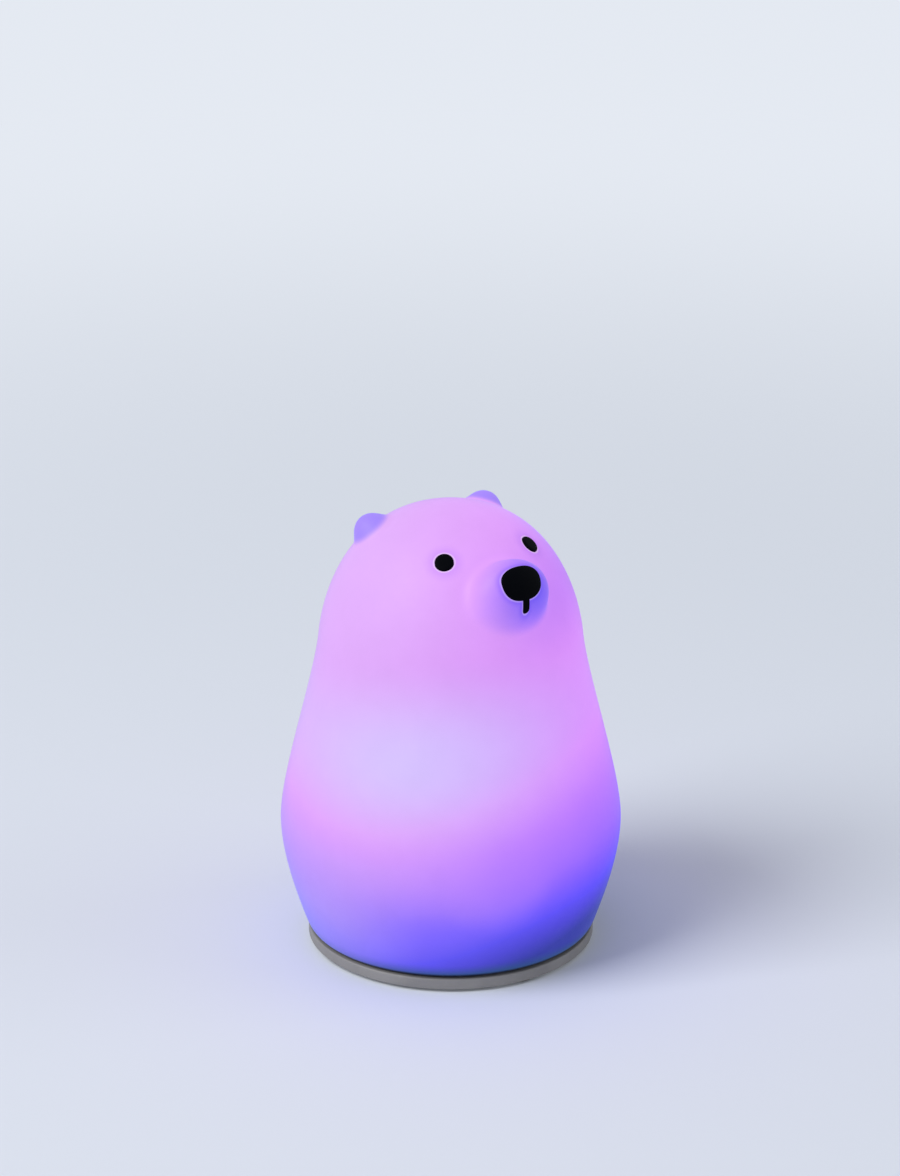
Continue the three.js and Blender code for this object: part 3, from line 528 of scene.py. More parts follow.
# %% Plastic, rubber and metal
def plastic(name, colour, shade, grain=6, depth=0.02, roughness=0.5):
    """Moulded plastic: a spark-eroded grain, slow changes of tone and paler rubbed spots."""
    f = Finish(name)
    tone = f.mix(f.smooth(f.noise(0.08), 0.35, 0.65), colour, shade)
    rubbed = f.smooth(f.noise(0.9, 5), 0.55, 0.8) * 0.25
    paler = [min(1, c * 1.25 + 0.02) for c in paint(*colour)]
    tone = f.between(rubbed, tone, (*paler, 1))
    rough = f.noise(0.5, 4) * 0.16 + (roughness - 0.08)
    return f.done(tone, rough, f.noise(grain, 2), depth)


def rubber(name, colour, shade, roughness=0.8):
    """Dull rubber with fine pits and a trace of dust."""
    f = Finish(name)
    dust = f.smooth(f.noise(0.6, 6), 0.5, 0.85)
    tone = f.mix(dust * 0.5, colour, shade)
    rough = f.noise(1.2) * 0.15 + (roughness - 0.08)
    return f.done(tone, rough, f.cells(3.5), 0.02)


def metal(name, colour, shade):
    """Plated or drawn metal, with lines in one direction and faint stains."""
    f = Finish(name)
    drawn = f.noise(1, 4, f.vector("MULTIPLY", f.place, (0.4, 0.4, 14)))
    stains = f.smooth(f.noise(0.35, 5), 0.5, 0.75)
    tone = f.mix(stains * 0.5, colour, shade)
    return f.done(tone, drawn * 0.2 + 0.2, drawn, 0.008, Metallic=1.0)


print("Finishes: plastic, rubber and metal")

# %% [markdown]
# ## The glow in the silicone
#
# The silicone is milky and lit from inside. High up it is lilac and even. A cooler, whiter patch
# lies over the chest, where the lamp's dome is nearest. Low down, behind the opaque rim of the
# base, the light turns violet and then deep blue, and it does so sooner on the bear's front
# left; that side lies away from the key lamp, and its deeper blue there, on the flank and at the
# temple, is partly painted shade. The hem is darker where the base holds back the glow, and
# partly by painted shade, and the dark line under it is painted shade. Low on the key lamp's side
# the glow is painted lighter. Ears and muzzle stand out from the light and are bluer too, and the
# muzzle has painted shade, deepest on its front left. Round the black inserts lies painted
# shade, and at their edges a thin painted highlight. The glow is part of the surface here: a
# ramp over the height gives its colour, and soft masks shift it.

# %% Places and colours of the glow
GLOW = [
    (0.00, (44, 52, 167)),
    (0.05, (73, 65, 218)),
    (0.09, (90, 78, 246)),
    (0.14, (124, 99, 255)),
    (0.20, (159, 122, 252)),
    (0.27, (181, 136, 250)),
    (0.34, (201, 149, 248)),
    (0.42, (223, 156, 247)),
    (0.62, (219, 164, 244)),
    (1.00, (221, 172, 243)),
]
GLOW_HEIGHT, GLOW_HALF = 140, 50
# Where the ramp runs higher or lower: the place across and up, the half sizes and the lift
LOBES = [
    (14.2, 36.7, 19.5, 19.4, 8.0),
    (-11.8, 25.6, 30.5, 14.4, -5.3),
    (13.5, 39.5, 16.1, 18.3, -5.6),
]
SIDE_COS, SIDE_SIN = 0.847, 0.532
CHEST_LEFT, CHEST_Z, CHEST_WIDE, CHEST_TALL = 2.2, 75.8, 55.3, 25.1
# The chest patch is the lamp's own glow; the hip colour is painted light, low on the key lamp's
# side
CHEST_COLOUR, HIP_LIGHT_COLOUR = (211, 196, 248), (200, 189, 230)
# Tints of painted shade on the side away from the key lamp: the flank and the temple
FLANK_SHADE_TINT, TEMPLE_SHADE_TINT = (1.133, 0.757, 1.2), (0.8, 0.78, 1)
# Hem: darker where the base holds back the glow, partly painted shade. Lip: painted shade under it
HEM_SHADE_COLOUR, LIP_SHADE_COLOUR = (30, 80, 122), (12, 20, 50)
# The ears are bluer where the glow reaches less; the muzzle colour is that and painted shade too
EAR_COLOUR, MUZZLE_SHADE_COLOUR = (146, 126, 252), (60, 73, 255)
# Painted shade round the nose and eyes, and painted highlights on the rims of their pockets
NOSE_SHADE_HALO, NOSE_RIM_HIGHLIGHT = (98, 62, 255), (232, 206, 255)
EYE_SHADE_HALO, EYE_RIM_HIGHLIGHT = (190, 124, 250), (250, 226, 255)
EAR, EAR_OUT = (19.9, 13, 132.5), (0.55, 0.30, 0.78)
MUZZLE, MUZZLE_SIZE, MUZZLE_SHADE = (0, -33.12, 122.2), (12.4, 8.4, 11.1), (5.9, -49, 126.8)
NOSE_TILT, NOSE_WIDE, NOSE_TALL, NOSE_POWER, NOSE_TAPER = 44, 6.5, 4.9, 2.4, 0.07
MOUTH_HALF, MOUTH_LOW = 1.0, 7.8
EYES = [(-15.13, -20.37, 131.7), (15.13, -20.37, 131.7)]
print("Stops of the glow:", len(GLOW))

# %% Glow of the body
def glow_of_body(f, x, y, z, aside):
    """The wide changes of the glow up and across the body, with painted shade and painted light."""
    share = aside / GLOW_HALF
    # Lower towards the bear's front left, away from the key lamp: partly the glow, partly painted
    # shade
    slope = share * (share * (share * 7.33 - 6.95) - 17.32)
    level = z + slope + (f.noise(0.035, 2) - 0.5) * 3
    for across, height, wide, tall, lift in LOBES:
        off, up = (aside - across) / wide, (z - height) / tall
        away = f.maths("SQRT", off * off + up * up)
        level = level + f.faded(away, 0, 1) * lift
    glow = f.add("ShaderNodeValToRGB", {0: level / GLOW_HEIGHT}, stops=GLOW)

    high = (z - aside * 0.1 - CHEST_Z) / CHEST_TALL
    wide = (aside + CHEST_LEFT) / CHEST_WIDE
    chest = f.faded(f.maths("SQRT", high * high + wide * wide), 0.1, 1.25)
    facing = f.smooth(x * -SIDE_SIN - y * SIDE_COS, -36, -6) * 0.65 + 0.35
    glow = f.mix(chest * facing, glow, CHEST_COLOUR)

    # Painted shade: bluer on the flank away from the key lamp
    glow = f.tinted(f.smooth(aside, -40, 62) * f.smooth(z, 10, 40), glow, FLANK_SHADE_TINT)
    # Painted shade: darker at the temple away from the key lamp
    glow = f.tinted(f.smooth(aside, 14, 36) * f.smooth(z, 98, 120), glow, TEMPLE_SHADE_TINT)
    # Painted light: paler low on the key lamp's side
    lit_hip = f.smooth(-aside, 5, 45) * f.faded(z, 11, 52)
    glow = f.mix(lit_hip * 0.3, glow, HIP_LIGHT_COLOUR)
    # Darker towards the bottom where the base holds back the glow, partly painted shade, less on
    # the key lamp's side
    hem = f.faded(z, 4.2, 10.2) * (1 - f.smooth(-aside, 5, 40) * 0.55)
    glow = f.mix(hem, glow, HEM_SHADE_COLOUR)
    # Painted shade in the gap under the hem
    return f.mix(f.faded(z, 5.2, 6.4), glow, LIP_SHADE_COLOUR)


# %% Glow of the face
def gap_to_nose(f, x):
    """About how far a place on the muzzle lies from the outline of nose and mouth line, in mm."""
    tilt = math.radians(NOSE_TILT)
    v = f.dot(f.from_spot(MUZZLE), (0, math.sin(tilt), math.cos(tilt)))
    wide = (v * (NOSE_TAPER / NOSE_TALL) + 1) * NOSE_WIDE
    power = NOSE_POWER
    oval = ((abs(x) / wide) ** power + (abs(v) / NOSE_TALL) ** power) ** (1 / power)
    end = f.smaller(f.larger(v, MOUTH_HALF - MOUTH_LOW), 0)
    line = f.maths("SQRT", x * x + (v - end) * (v - end)) - MOUTH_HALF
    return f.smaller((oval - 1) * (NOSE_WIDE + NOSE_TALL) / 2, line)


def glow_of_face(f, glow, x, y, z):
    """Ears and muzzle are bluer, with painted shade on the muzzle and round each black insert,
    and a thin painted highlight at each insert's rim.
    """
    ear = f.vector("SUBTRACT", f.join(abs(x), y, z), EAR)
    ears = f.faded(f.length(ear), 5.7, 7.2) * f.smooth(f.dot(ear, EAR_OUT), -4, 2.6)
    glow = f.mix(ears * 0.82, glow, EAR_COLOUR)
    # The muzzle is bluer where thick silicone holds back the glow, with painted shade deepest on
    # its left
    shade = f.faded(f.length(f.from_spot(MUZZLE_SHADE)), 0, 31)
    ball = f.length(f.vector("DIVIDE", f.from_spot(MUZZLE), MUZZLE_SIZE))
    glow = f.mix(shade * (1 - f.smooth(ball, 0.95, 1.23) * 0.9), glow, MUZZLE_SHADE_COLOUR)
    gap = gap_to_nose(f, x)
    front = f.faded(ball, 1.05, 1.2)
    # Painted shade close round nose and mouth line, and a painted highlight at the pocket's rim
    glow = f.mix(f.faded(gap, 0.2, 1.9) * front * 0.3, glow, NOSE_SHADE_HALO)
    glow = f.mix(f.faded(gap, 0.2, 0.5) * front * 0.35, glow, NOSE_RIM_HIGHLIGHT)
    for eye in EYES:
        away = f.length(f.from_spot(eye))
        # Painted shade round each eye, and a painted highlight at its pocket's rim
        glow = f.mix(f.faded(away, 2.6, 7) * 0.4, glow, EYE_SHADE_HALO)
        glow = f.mix(f.faded(away, 3.25, 3.55) * 0.45, glow, EYE_RIM_HIGHLIGHT)
    return glow


# %% Silicone
def silicone():
    f = Finish("glowing_silicone")
    x, y, z = f.split(f.place)
    aside = x * SIDE_COS - y * SIDE_SIN
    glow = glow_of_face(f, glow_of_body(f, x, y, z, aside), x, y, z)
    cloud = f.noise(0.12, 3) * 0.06 + 0.61
    lit = f.vector("MULTIPLY", glow, f.join(cloud, cloud, cloud))
    rough = f.noise(0.6, 3) * 0.14 + 0.5
    return f.done(
        f.scaled(glow, 0.34), rough, f.noise(2.2, 4), 0.03,
        Emission_Color=lit, Emission_Strength=1.0,
        Sheen_Weight=0.4, Sheen_Roughness=0.25, Sheen_Tint=(0.3, 0.42, 1, 1),
        Specular_IOR_Level=0.35,
    )


FINISHES["silicone"] = silicone()
print("Silicone nodes:", len(FINISHES["silicone"].node_tree.nodes))

# %% [markdown]
# ## The silicone body
#
# The real body is one hollow moulding, and its shape follows a rule: a turned form from which
# two round ears and a muzzle flow out. Geometry Nodes can say just that. A grid is wrapped
# round the body line, and every point above the belly is first pushed far out and then stepped
# back, again and again, by its distance to the soft union of body, ears and muzzle, until it
# lies on the skin. The inside and the turned-in lip are part of the same line, so the shell is
# closed. A sculpted mesh would look as soft, but nobody could change an ear's size in it.

# %% Geometry Nodes helpers
SOCKETS = {float: "NodeSocketFloat", int: "NodeSocketInt", bpy.types.Material: "NodeSocketMaterial"}
WELD = 0.001 * MM


class Builder(Graph):
    """A Geometry Nodes tree with named inputs."""

    def __init__(self, name, sizes):
        super().__init__(bpy.data.node_groups.new(name, "GeometryNodeTree"))
        face = self.tree.interface
        face.new_socket("Geometry", in_out="INPUT", socket_type="NodeSocketGeometry")
        for title, value in sizes.items():
            kind = SOCKETS.get(type(value), "NodeSocketObject")
            face.new_socket(title, in_out="INPUT", socket_type=kind)
        face.new_socket("Geometry", in_out="OUTPUT", socket_type="NodeSocketGeometry")
        self.sizes = sizes
        self.source = self.add("NodeGroupInput")

    def __getitem__(self, title):
        """A named input."""
        return self.source.also(title)

    def position(self):
        return self.add("GeometryNodeInputPosition")

    def stored(self, name, kind="FLOAT_VECTOR"):
        return self.add("GeometryNodeInputNamedAttribute", {"Name": name}, data_type=kind)

    def store(self, geometry, name, value, kind="FLOAT_VECTOR"):
        sockets = {"Geometry": geometry, "Name": name, "Value": value}
        return self.add("GeometryNodeStoreNamedAttribute", sockets, data_type=kind)

    def shaped(self, geometry, **sockets):
        """Sets or shifts the place of every point."""
        return self.add("GeometryNodeSetPosition", {"Geometry": geometry, **sockets})

    def welded(self, geometry):
        return self.add("GeometryNodeMergeByDistance", {"Geometry": geometry, "Distance": WELD})

    def finish(self, geometry):
        whole = self.add("GeometryNodeRealizeInstances", {"Geometry": geometry})
        sockets = {"Geometry": whole, "Material": self["Material"]}
        painted = self.add("GeometryNodeSetMaterial", sockets)
        self.add("NodeGroupOutput", {"Geometry": painted})

    def run(self, name, start):
        """Runs the tree on a start object and keeps the result as a plain mesh."""
        step = start.modifiers.new("Build", "NODES")
        step.node_group = self.tree
        for item in self.tree.interface.items_tree:
            if item.in_out == "INPUT" and item.name in self.sizes:
                step[item.identifier] = self.sizes[item.name]
        baked(start)
        start.name = name
        return start


# %% A sheet round a line
def sheet_round_line(g):
    """A grid with a row for each point of the start line, and each point's turn round Z."""
    columns = g["Columns"]
    rows = g.add("GeometryNodeAttributeDomainSize", {"Geometry": g.source}, "Point Count")
    counts = {"Vertices X": columns + 1, "Vertices Y": rows}
    sheet = g.add("GeometryNodeMeshGrid", counts, "Mesh")
    index = g.add("GeometryNodeInputIndex")
    return sheet, index % rows, g.maths("FLOOR", index / rows) / columns * math.tau


def on_line(g, row, field):
    """A field of the start line, read at the row of each point."""
    sockets = {"Geometry": g.source, "Value": field, "Index": row}
    return g.add("GeometryNodeSampleIndex", sockets, data_type="FLOAT_VECTOR")


def swept(g, vector, turn):
    """A place of the line, which holds radius and height, turned round Z."""
    radius, _, height = g.split(vector)
    return g.join(radius * g.sine(turn), -(radius * g.maths("COSINE", turn)), height)


# %% The rule of the body
STEPS_BACK = 48


def soft_union(g, a, b, reach):
    """The smaller of two distances, rounded where they are nearly the same."""
    overlap = g.larger(reach - abs(a - b), 0)
    return g.smaller(a, b) - overlap * overlap / (4 * reach)


def wrapped(g):
    """The sheet on the body line, with each point's way out and whether it may move."""
    sheet, row, turn = sheet_round_line(g)
    turn = turn - g["Face Crowding"] * g.sine(turn) - g["Ear Crowding"] * g.sine(3 * turn)
    start = swept(g, on_line(g, row, g.position()), turn)
    line_out = on_line(g, row, g.stored("out"))
    _, free, _ = g.split(line_out)
    body = g.shaped(sheet, Position=start)
    body = g.store(body, "start", start)
    body = g.store(body, "way", swept(g, line_out, turn))
    return g.store(body, "free", free, "FLOAT")


def stepped_back(g, body):
    """Steps every free point back on to the soft union of body, ears and muzzle."""
    way, start, free = g.stored("way"), g.stored("start"), g.stored("free", "FLOAT")
    far = g["Ear Radius"] + g["Muzzle Depth"] + g["Blend"]
    body = g.shaped(body, Offset=g.scaled(way, far * free))

    first = g.tree.nodes.new("GeometryNodeRepeatInput")
    last = g.tree.nodes.new("GeometryNodeRepeatOutput")
    first.pair_with_output(last)
    first.inputs["Iterations"].default_value = STEPS_BACK
    g.tree.links.new(body.socket, first.inputs["Geometry"])

    here = g.position()
    gap = g.dot(g.vector("SUBTRACT", here, start), way)
    for side in (-1, 1):
        centre = g.join(g["Ear Spread"] * side, g["Ear Back"], g["Ear Height"])
        ear = g.length(g.vector("SUBTRACT", here, centre)) - g["Ear Radius"]
        gap = soft_union(g, gap, ear, g["Blend"])
    axes = g.join(g["Muzzle Width"], g["Muzzle Depth"], g["Muzzle Tallness"])
    centre = g.join(0.0, -g["Muzzle Forward"], g["Muzzle Height"])
    share = g.vector("DIVIDE", g.vector("SUBTRACT", here, centre), axes)
    reach = g.length(share)
    muzzle = reach * (reach - 1) / g.length(g.vector("DIVIDE", share, axes))
    gap = soft_union(g, gap, muzzle, g["Blend"])
    back = g.shaped(Wire(g, first.outputs["Geometry"]), Offset=g.scaled(way, -(gap * free)))
    g.tree.links.new(back.socket, last.inputs["Geometry"])
    return g.welded(Wire(g, last.outputs["Geometry"]))


print("The body's rule is written")

# %% The body's shell
EAR_RADIUS, BLEND = 5.4, 4
LIP_EDGE = [(0.5, 0), (0.15, 0.15), (0, 0.5)]
CORNER_RISE, CORNER = 0.6, [(1.2, 0), (0.35, 0.2)]


def shell_line():
    """The closed line of the shell: down the outside, under the lip, and up the inside.

    With each place goes the way out of the skin, as radius and height, and between these two
    numbers whether the place may move: only the outside above the belly does.
    """
    outer, ways = body_line((9, 34, 50, 118))
    outer, ways = outer[::-1], ways[::-1]
    inner, inner_ways = body_line((2, 14, 20, 40))
    inner = inner - WALL * inner_ways
    keep = (inner[:, 1] > LIP_TOP + CORNER_RISE) & (inner[:, 0] > 0)
    inner = np.vstack([inner[keep], [(0, CROWN_Z - WALL)]])
    corner = float(inner[0][0])
    lip = [(MOUTH_RADIUS + r, LIP_BOTTOM + z) for r, z in LIP_EDGE]
    lip += [(MOUTH_RADIUS + r, LIP_TOP - z) for r, z in LIP_EDGE[::-1]]
    lip += [(corner - r, LIP_TOP + z) for r, z in CORNER]
    line = np.vstack([outer, lip, inner])
    out = np.zeros((len(line), 3))
    out[:, 0] = 1
    out[:len(outer)] = np.stack([ways[:, 0], outer[:, 1] > BELLY_Z, ways[:, 1]], axis=1)
    return line, out


line, out = shell_line()
start = add_piece("body_line", [(radius, 0, height) for radius, height in line])
way = start.data.attributes.new("out", "FLOAT_VECTOR", "POINT")
way.data.foreach_set("vector", out.astype(np.float32).ravel())
lengths = {"Muzzle Forward": -MUZZLE[1], "Muzzle Height": MUZZLE[2]}
lengths |= zip(("Muzzle Width", "Muzzle Depth", "Muzzle Tallness"), MUZZLE_SIZE)
lengths |= zip(("Ear Spread", "Ear Back", "Ear Height"), EAR)
lengths |= {"Ear Radius": EAR_RADIUS, "Blend": BLEND}
sizes = {title: length * MM for title, length in lengths.items()}
sizes |= {"Columns": 256, "Face Crowding": 0.3, "Ear Crowding": 0.1}
g = Builder("bear_body", {**sizes, "Material": FINISHES["silicone"]})
g.finish(stepped_back(g, wrapped(g)))
bear = g.run("bear_body", start)
print("Bear body:", len(bear.data.vertices), "points,", len(bear.data.polygons), "faces")

# %% [markdown]
# ## Face and rear arch
#
# Eyes and nose are black silicone. They sit in pockets of the body and stand half a millimetre
# proud of it, and the nose carries a short line down to the mouth. Each eye is a turned pad. The
# nose is cut like the real insert: an outline pushed into the muzzle, hollowed by one smooth ball
# and capped by another.
# At the back the hem of the body has an arch, which the base's rear panel fills.

# %% Places on the skin
EYE_TURN, EYE_Z = 36.6, 131.7


def skin_at(height):
    """The skin's radius at a height, and the way out there, as radius and height."""
    columns = fine_line[:, 0], *fine_out.T
    return [float(np.interp(height, fine_line[:, 1], column)) for column in columns]


def frame_on_skin(place, out):
    """A frame whose third axis looks out of the skin."""
    out = Vector(out).normalized()
    across = Vector((0, 0, 1)).cross(out).normalized()
    turn = Matrix((across, out.cross(across), out)).transposed().to_4x4()
    return Matrix.Translation(Vector(place) * MM) @ turn


def eye_frame(side):
    radius, flat, rise = skin_at(EYE_Z)
    a = side * math.radians(EYE_TURN)
    place = (radius * math.sin(a), -radius * math.cos(a), EYE_Z)
    return frame_on_skin(place, (flat * math.sin(a), -flat * math.cos(a), rise))


print("Radius of the skin at the eyes:", round(skin_at(EYE_Z)[0], 2), "mm")

# %% Shapes of eyes and nose
INSERT_DEPTH, INSERT_PROUD, POCKET_GAP = 1.4, 0.5, 0.15
EYE_RADIUS, EYE_EDGE, EYE_DOME = 2.85, 0.62, 2.1
NOSE_START, NOSE_END = 1.2, 20


def eye_pad(name, side):
    """A round pad: a flat foot, a rounded edge and a low dome."""
    edge = [
        (EYE_RADIUS - EYE_EDGE * (1 - math.cos(a)), INSERT_PROUD * math.sin(a) * 0.8)
        for a in np.linspace(0, math.pi / 2, 7)
    ]
    dome = [
        (r, INSERT_PROUD * (1 - 0.2 * (r / EYE_RADIUS) ** 2)) for r in np.linspace(EYE_DOME, 0, 8)
    ]
    low = [(0, -INSERT_DEPTH), (EYE_RADIUS, -INSERT_DEPTH)]
    return moved(turned(name, low + edge + dome, 48), eye_frame(side))


def ball(name, grow):
    """The muzzle's ellipsoid, grown by a distance."""
    steps = np.linspace(-math.pi / 2, math.pi / 2, 49)
    profile = [(abs(math.cos(s)) if abs(s) < 1.57 else 0, math.sin(s)) for s in steps]
    size = Matrix.Diagonal([axis + grow for axis in MUZZLE_SIZE] + [1])
    return moved(turned(name, profile, 96), Matrix.Translation(Vector(MUZZLE) * MM) @ size)


def nose_outline(grow):
    points = []
    for a in np.arange(96) * math.tau / 96:
        x, y = [math.copysign(abs(v) ** (2 / NOSE_POWER), v) for v in (math.cos(a), math.sin(a))]
        points.append((x * (NOSE_WIDE + grow) * (1 + NOSE_TAPER * y), y * (NOSE_TALL + grow)))
    return points


def mouth_outline(grow):
    half = MOUTH_HALF + grow
    low = half - MOUTH_LOW - grow
    across = [math.cos(a) for a in np.linspace(math.pi, 2 * math.pi, 13)]
    end = [(half * x, low - half * (1 - abs(x) ** 3) ** (1 / 3)) for x in across]
    return [(half, 0), (-half, 0)] + end


def nose_solid(name, grow):
    tilt = math.radians(NOSE_TILT)
    here = frame_on_skin(MUZZLE, (0, -math.cos(tilt), math.sin(tilt)))
    nose = moved(prism(name, nose_outline(grow), NOSE_START - grow, NOSE_END), here)
    mouth = moved(prism("mouth_line", mouth_outline(grow), NOSE_START - grow, NOSE_END), here)
    joined(nose, mouth, "UNION")
    return joined(nose, ball("nose_seat", -INSERT_DEPTH - grow), "DIFFERENCE")


print("Inserts stand", INSERT_PROUD, "mm proud")

# %% Pockets and rear arch
POCKET_RADIUS, POCKET_DEPTH, POCKET_TOP = 3.0, 1.6, 3
ARCH_HALF, ARCH_TOP, ARCH_CORNER, ARCH_GAP = 10, 17, 4, 0.4
ARCH_NEAR, ARCH_FAR = 30, 54


def arch_solid():
    """A door shape with round upper corners, pushed in from the back."""
    side, top = ARCH_HALF + ARCH_GAP, ARCH_TOP + ARCH_GAP
    outline = [(-side, 0), (side, 0)]
    for cx, start in ((side - ARCH_CORNER, 0), (ARCH_CORNER - side, math.pi / 2)):
        outline += [
            (cx + ARCH_CORNER * math.cos(a), top - ARCH_CORNER + ARCH_CORNER * math.sin(a))
            for a in start + np.linspace(0, math.pi / 2, 9)
        ]
    upright = Matrix.Rotation(math.radians(90), 4, "X")
    return moved(prism("arch", outline, -ARCH_FAR, -ARCH_NEAR), upright)


for side in (-1, 1):
    pocket = drum("pocket", POCKET_RADIUS, -POCKET_DEPTH, POCKET_TOP, 48)
    joined(bear, moved(pocket, eye_frame(side)), "DIFFERENCE")
joined(bear, nose_solid("nose_pocket", POCKET_GAP), "DIFFERENCE")
joined(bear, arch_solid(), "DIFFERENCE")
print("After its pockets:", len(bear.data.polygons), "faces")

# %% Black silicone and the finished face
def black_silicone():
    f = Finish("black_silicone")
    dust = f.smooth(f.noise(1.5, 6), 0.55, 0.9)
    tone = f.mix(dust * 0.4, (1, 2, 5), (10, 9, 15))
    rough = f.noise(1.6) * 0.2 + 0.5
    return f.done(tone, rough, f.noise(4, 3), 0.02, Specular_IOR_Level=0.03)


FINISHES["face_rubber"] = black_silicone()
finished(bear, "silicone", "silicone_shade", angle=50)
finished(eye_pad("bear_eye_left", 1), "face_rubber", "eye_left")
finished(eye_pad("bear_eye_right", -1), "face_rubber", "eye_right")
nose = joined(nose_solid("bear_nose", 0), ball("nose_cap", INSERT_PROUD), "INTERSECT")
finished(softened(nose, 0.22), "face_rubber", "nose")

# %% [markdown]
# ## Finishes of the base and of what it holds
#
# Apart from the cover, its feet and its screws, the remaining solids keep their shapes, and only
# their surfaces are made here. Each slot of the record has one finish, and every solid takes the
# finish of its slot.

# %% Boards and lights
LENS_LOW, LENS_HIGH = 28.15, 28.25
OPAL_LOW, OPAL_HIGH = 26, 46


def circuit_board(name, mask, track, land):
    """Solder mask over copper tracks, with small round lands."""
    f = Finish(name)
    x, y, _ = f.split(f.place)
    lines = f.smooth(abs(f.sine(x * 2.6 + f.noise(0.25) * 9)), 0.93, 0.98)
    cross = f.smooth(abs(f.sine(y * 2.2 + f.noise(0.2) * 9)), 0.94, 0.98)
    tracks = f.larger(lines, cross)
    lands = f.faded(f.cells(0.55), 0.16, 0.2)
    tone = f.mix(lands, f.mix(tracks * 0.8, mask, track), land)
    rough = f.noise(1) * 0.1 + 0.3
    return f.done(tone, rough, tracks * 0.5 + lands, 0.03, Metallic=lands * 0.8)


def light_chip():
    """A white case, and above it a lens that glows."""
    f = Finish("light_chip")
    _, _, z = f.split(f.place)
    lens = f.smooth(z, LENS_LOW, LENS_HIGH)
    tone = f.mix(lens, (240, 240, 236), (250, 224, 120))
    warm = f.mix(lens, (0, 0, 0), (226, 170, 255))
    rough = f.noise(2) * 0.1 + 0.25
    return f.done(tone, rough, f.cells(2.5), 0.01, Emission_Color=warm, Emission_Strength=0.8)


def opal():
    """Milky plastic that is brighter towards its top."""
    f = Finish("opal_dome")
    _, _, z = f.split(f.place)
    soft = f.mix(f.smooth(z, OPAL_LOW, OPAL_HIGH), (206, 184, 250), (240, 228, 255))
    flow = f.noise(0.3, 4)
    tone = f.mix(flow, (246, 245, 240), (232, 231, 228))
    rough = flow * 0.15 + 0.35
    return f.done(tone, rough, f.noise(5), 0.02, Emission_Color=soft, Emission_Strength=0.5)


print("Opal dome from", OPAL_LOW, "to", OPAL_HIGH, "mm")

# %% Cell, coil and light pipe
def sleeve():
    """Shrunk film with a pale band near each end."""
    f = Finish("cell_sleeve")
    x, _, _ = f.split(f.place)
    band = f.smooth(abs(x), 27.5, 27.7) * f.faded(abs(x), 30.6, 30.8)
    tone = f.mix(f.smooth(f.noise(0.15), 0.4, 0.6), (44, 108, 172), (38, 96, 156))
    tone = f.mix(band, tone, (220, 224, 228))
    wrinkle = f.noise(0.5, 4, f.vector("MULTIPLY", f.place, (0.4, 2, 2)))
    return f.done(tone, wrinkle * 0.15 + 0.2, wrinkle, 0.1, Coat_Weight=0.3)


def foam():
    f = Finish("cell_foam")
    pores = f.cells(2.4)
    tone = f.mix(f.smooth(pores, 0.1, 0.6), (24, 24, 26), (74, 74, 78))
    return f.done(tone, pores * 0.1 + 0.88, pores, 0.3)


def wound_copper():
    f = Finish("wound_copper")
    _, _, z = f.split(f.place)
    turns = abs(f.sine(z * 9))
    tone = f.mix(turns, (120, 62, 34), (206, 132, 84))
    return f.done(tone, f.noise(2) * 0.2 + 0.3, turns, 0.12, Metallic=0.85)


def clear_pipe():
    f = Finish("clear_pipe")
    haze = f.noise(0.8, 4)
    tone = f.mix(haze, (214, 226, 230), (236, 244, 246))
    return f.done(tone, haze * 0.1 + 0.08, haze, 0.02, Coat_Weight=0.5)


# %% Finishes by slot
# Two tones, the grain's scale, its depth in millimetres and the roughness
PLASTICS = {
    "base_plastic": ((136, 134, 132), (128, 126, 125), 6, 0.03, 0.58),
    "inner_plastic": ((234, 234, 230), (222, 222, 220), 4, 0.02, 0.5),
    "black_plastic": ((30, 30, 33), (22, 22, 24), 6, 0.02, 0.45),
    "grey_knob": ((122, 118, 114), (110, 106, 103), 6, 0.03, 0.6),
    "connector_plastic": ((232, 226, 206), (220, 213, 192), 6, 0.02, 0.4),
}
# The colour, the dust on it and the roughness
RUBBERS = {
    "foot_rubber": ((96, 93, 91), (128, 124, 120), 0.8),
    "red_lead": ((176, 34, 38), (150, 30, 34), 0.5),
    "black_lead": ((22, 22, 24), (46, 46, 50), 0.5),
}
# The mask, the tracks under it and the lands
BOARDS = {
    "green_board": ((28, 96, 58), (48, 132, 80), (206, 176, 96)),
    "white_board": ((232, 234, 230), (214, 217, 214), (190, 192, 194)),
}
for make, table in ((plastic, PLASTICS), (rubber, RUBBERS), (circuit_board, BOARDS)):
    FINISHES |= {slot: make(slot, *values) for slot, values in table.items()}
FINISHES |= {
    "steel": metal("plated_steel", (196, 197, 202), (158, 160, 168)),
    "opal_plastic": opal(),
    "led_resin": light_chip(),
    "cell_sleeve": sleeve(),
    "foam": foam(),
    "copper": wound_copper(),
    "clear_plastic": clear_pipe(),
}
for part in frame["record"]["subparts"]:
    solid = frame["nodes"][part["node"]]
    solid.data.materials.clear()
    solid.data.materials.append(FINISHES[part["material_slot"]])
print("Finishes:", len(FINISHES))

# %% [markdown]
# ## The cover
#
# The cover's ring shows all round under the hem, and at the back the cover rises into the panel
# with the socket. The solid has few sides, and its edges are sharp, so a copy of it is merged
# into one skin and a finely turned and rounded band goes round its ring. The seats of feet,
# screws and button are cut again with many sides, and then every sharp edge is rounded a
# little, as it is on a moulding. All of them stay where they are.

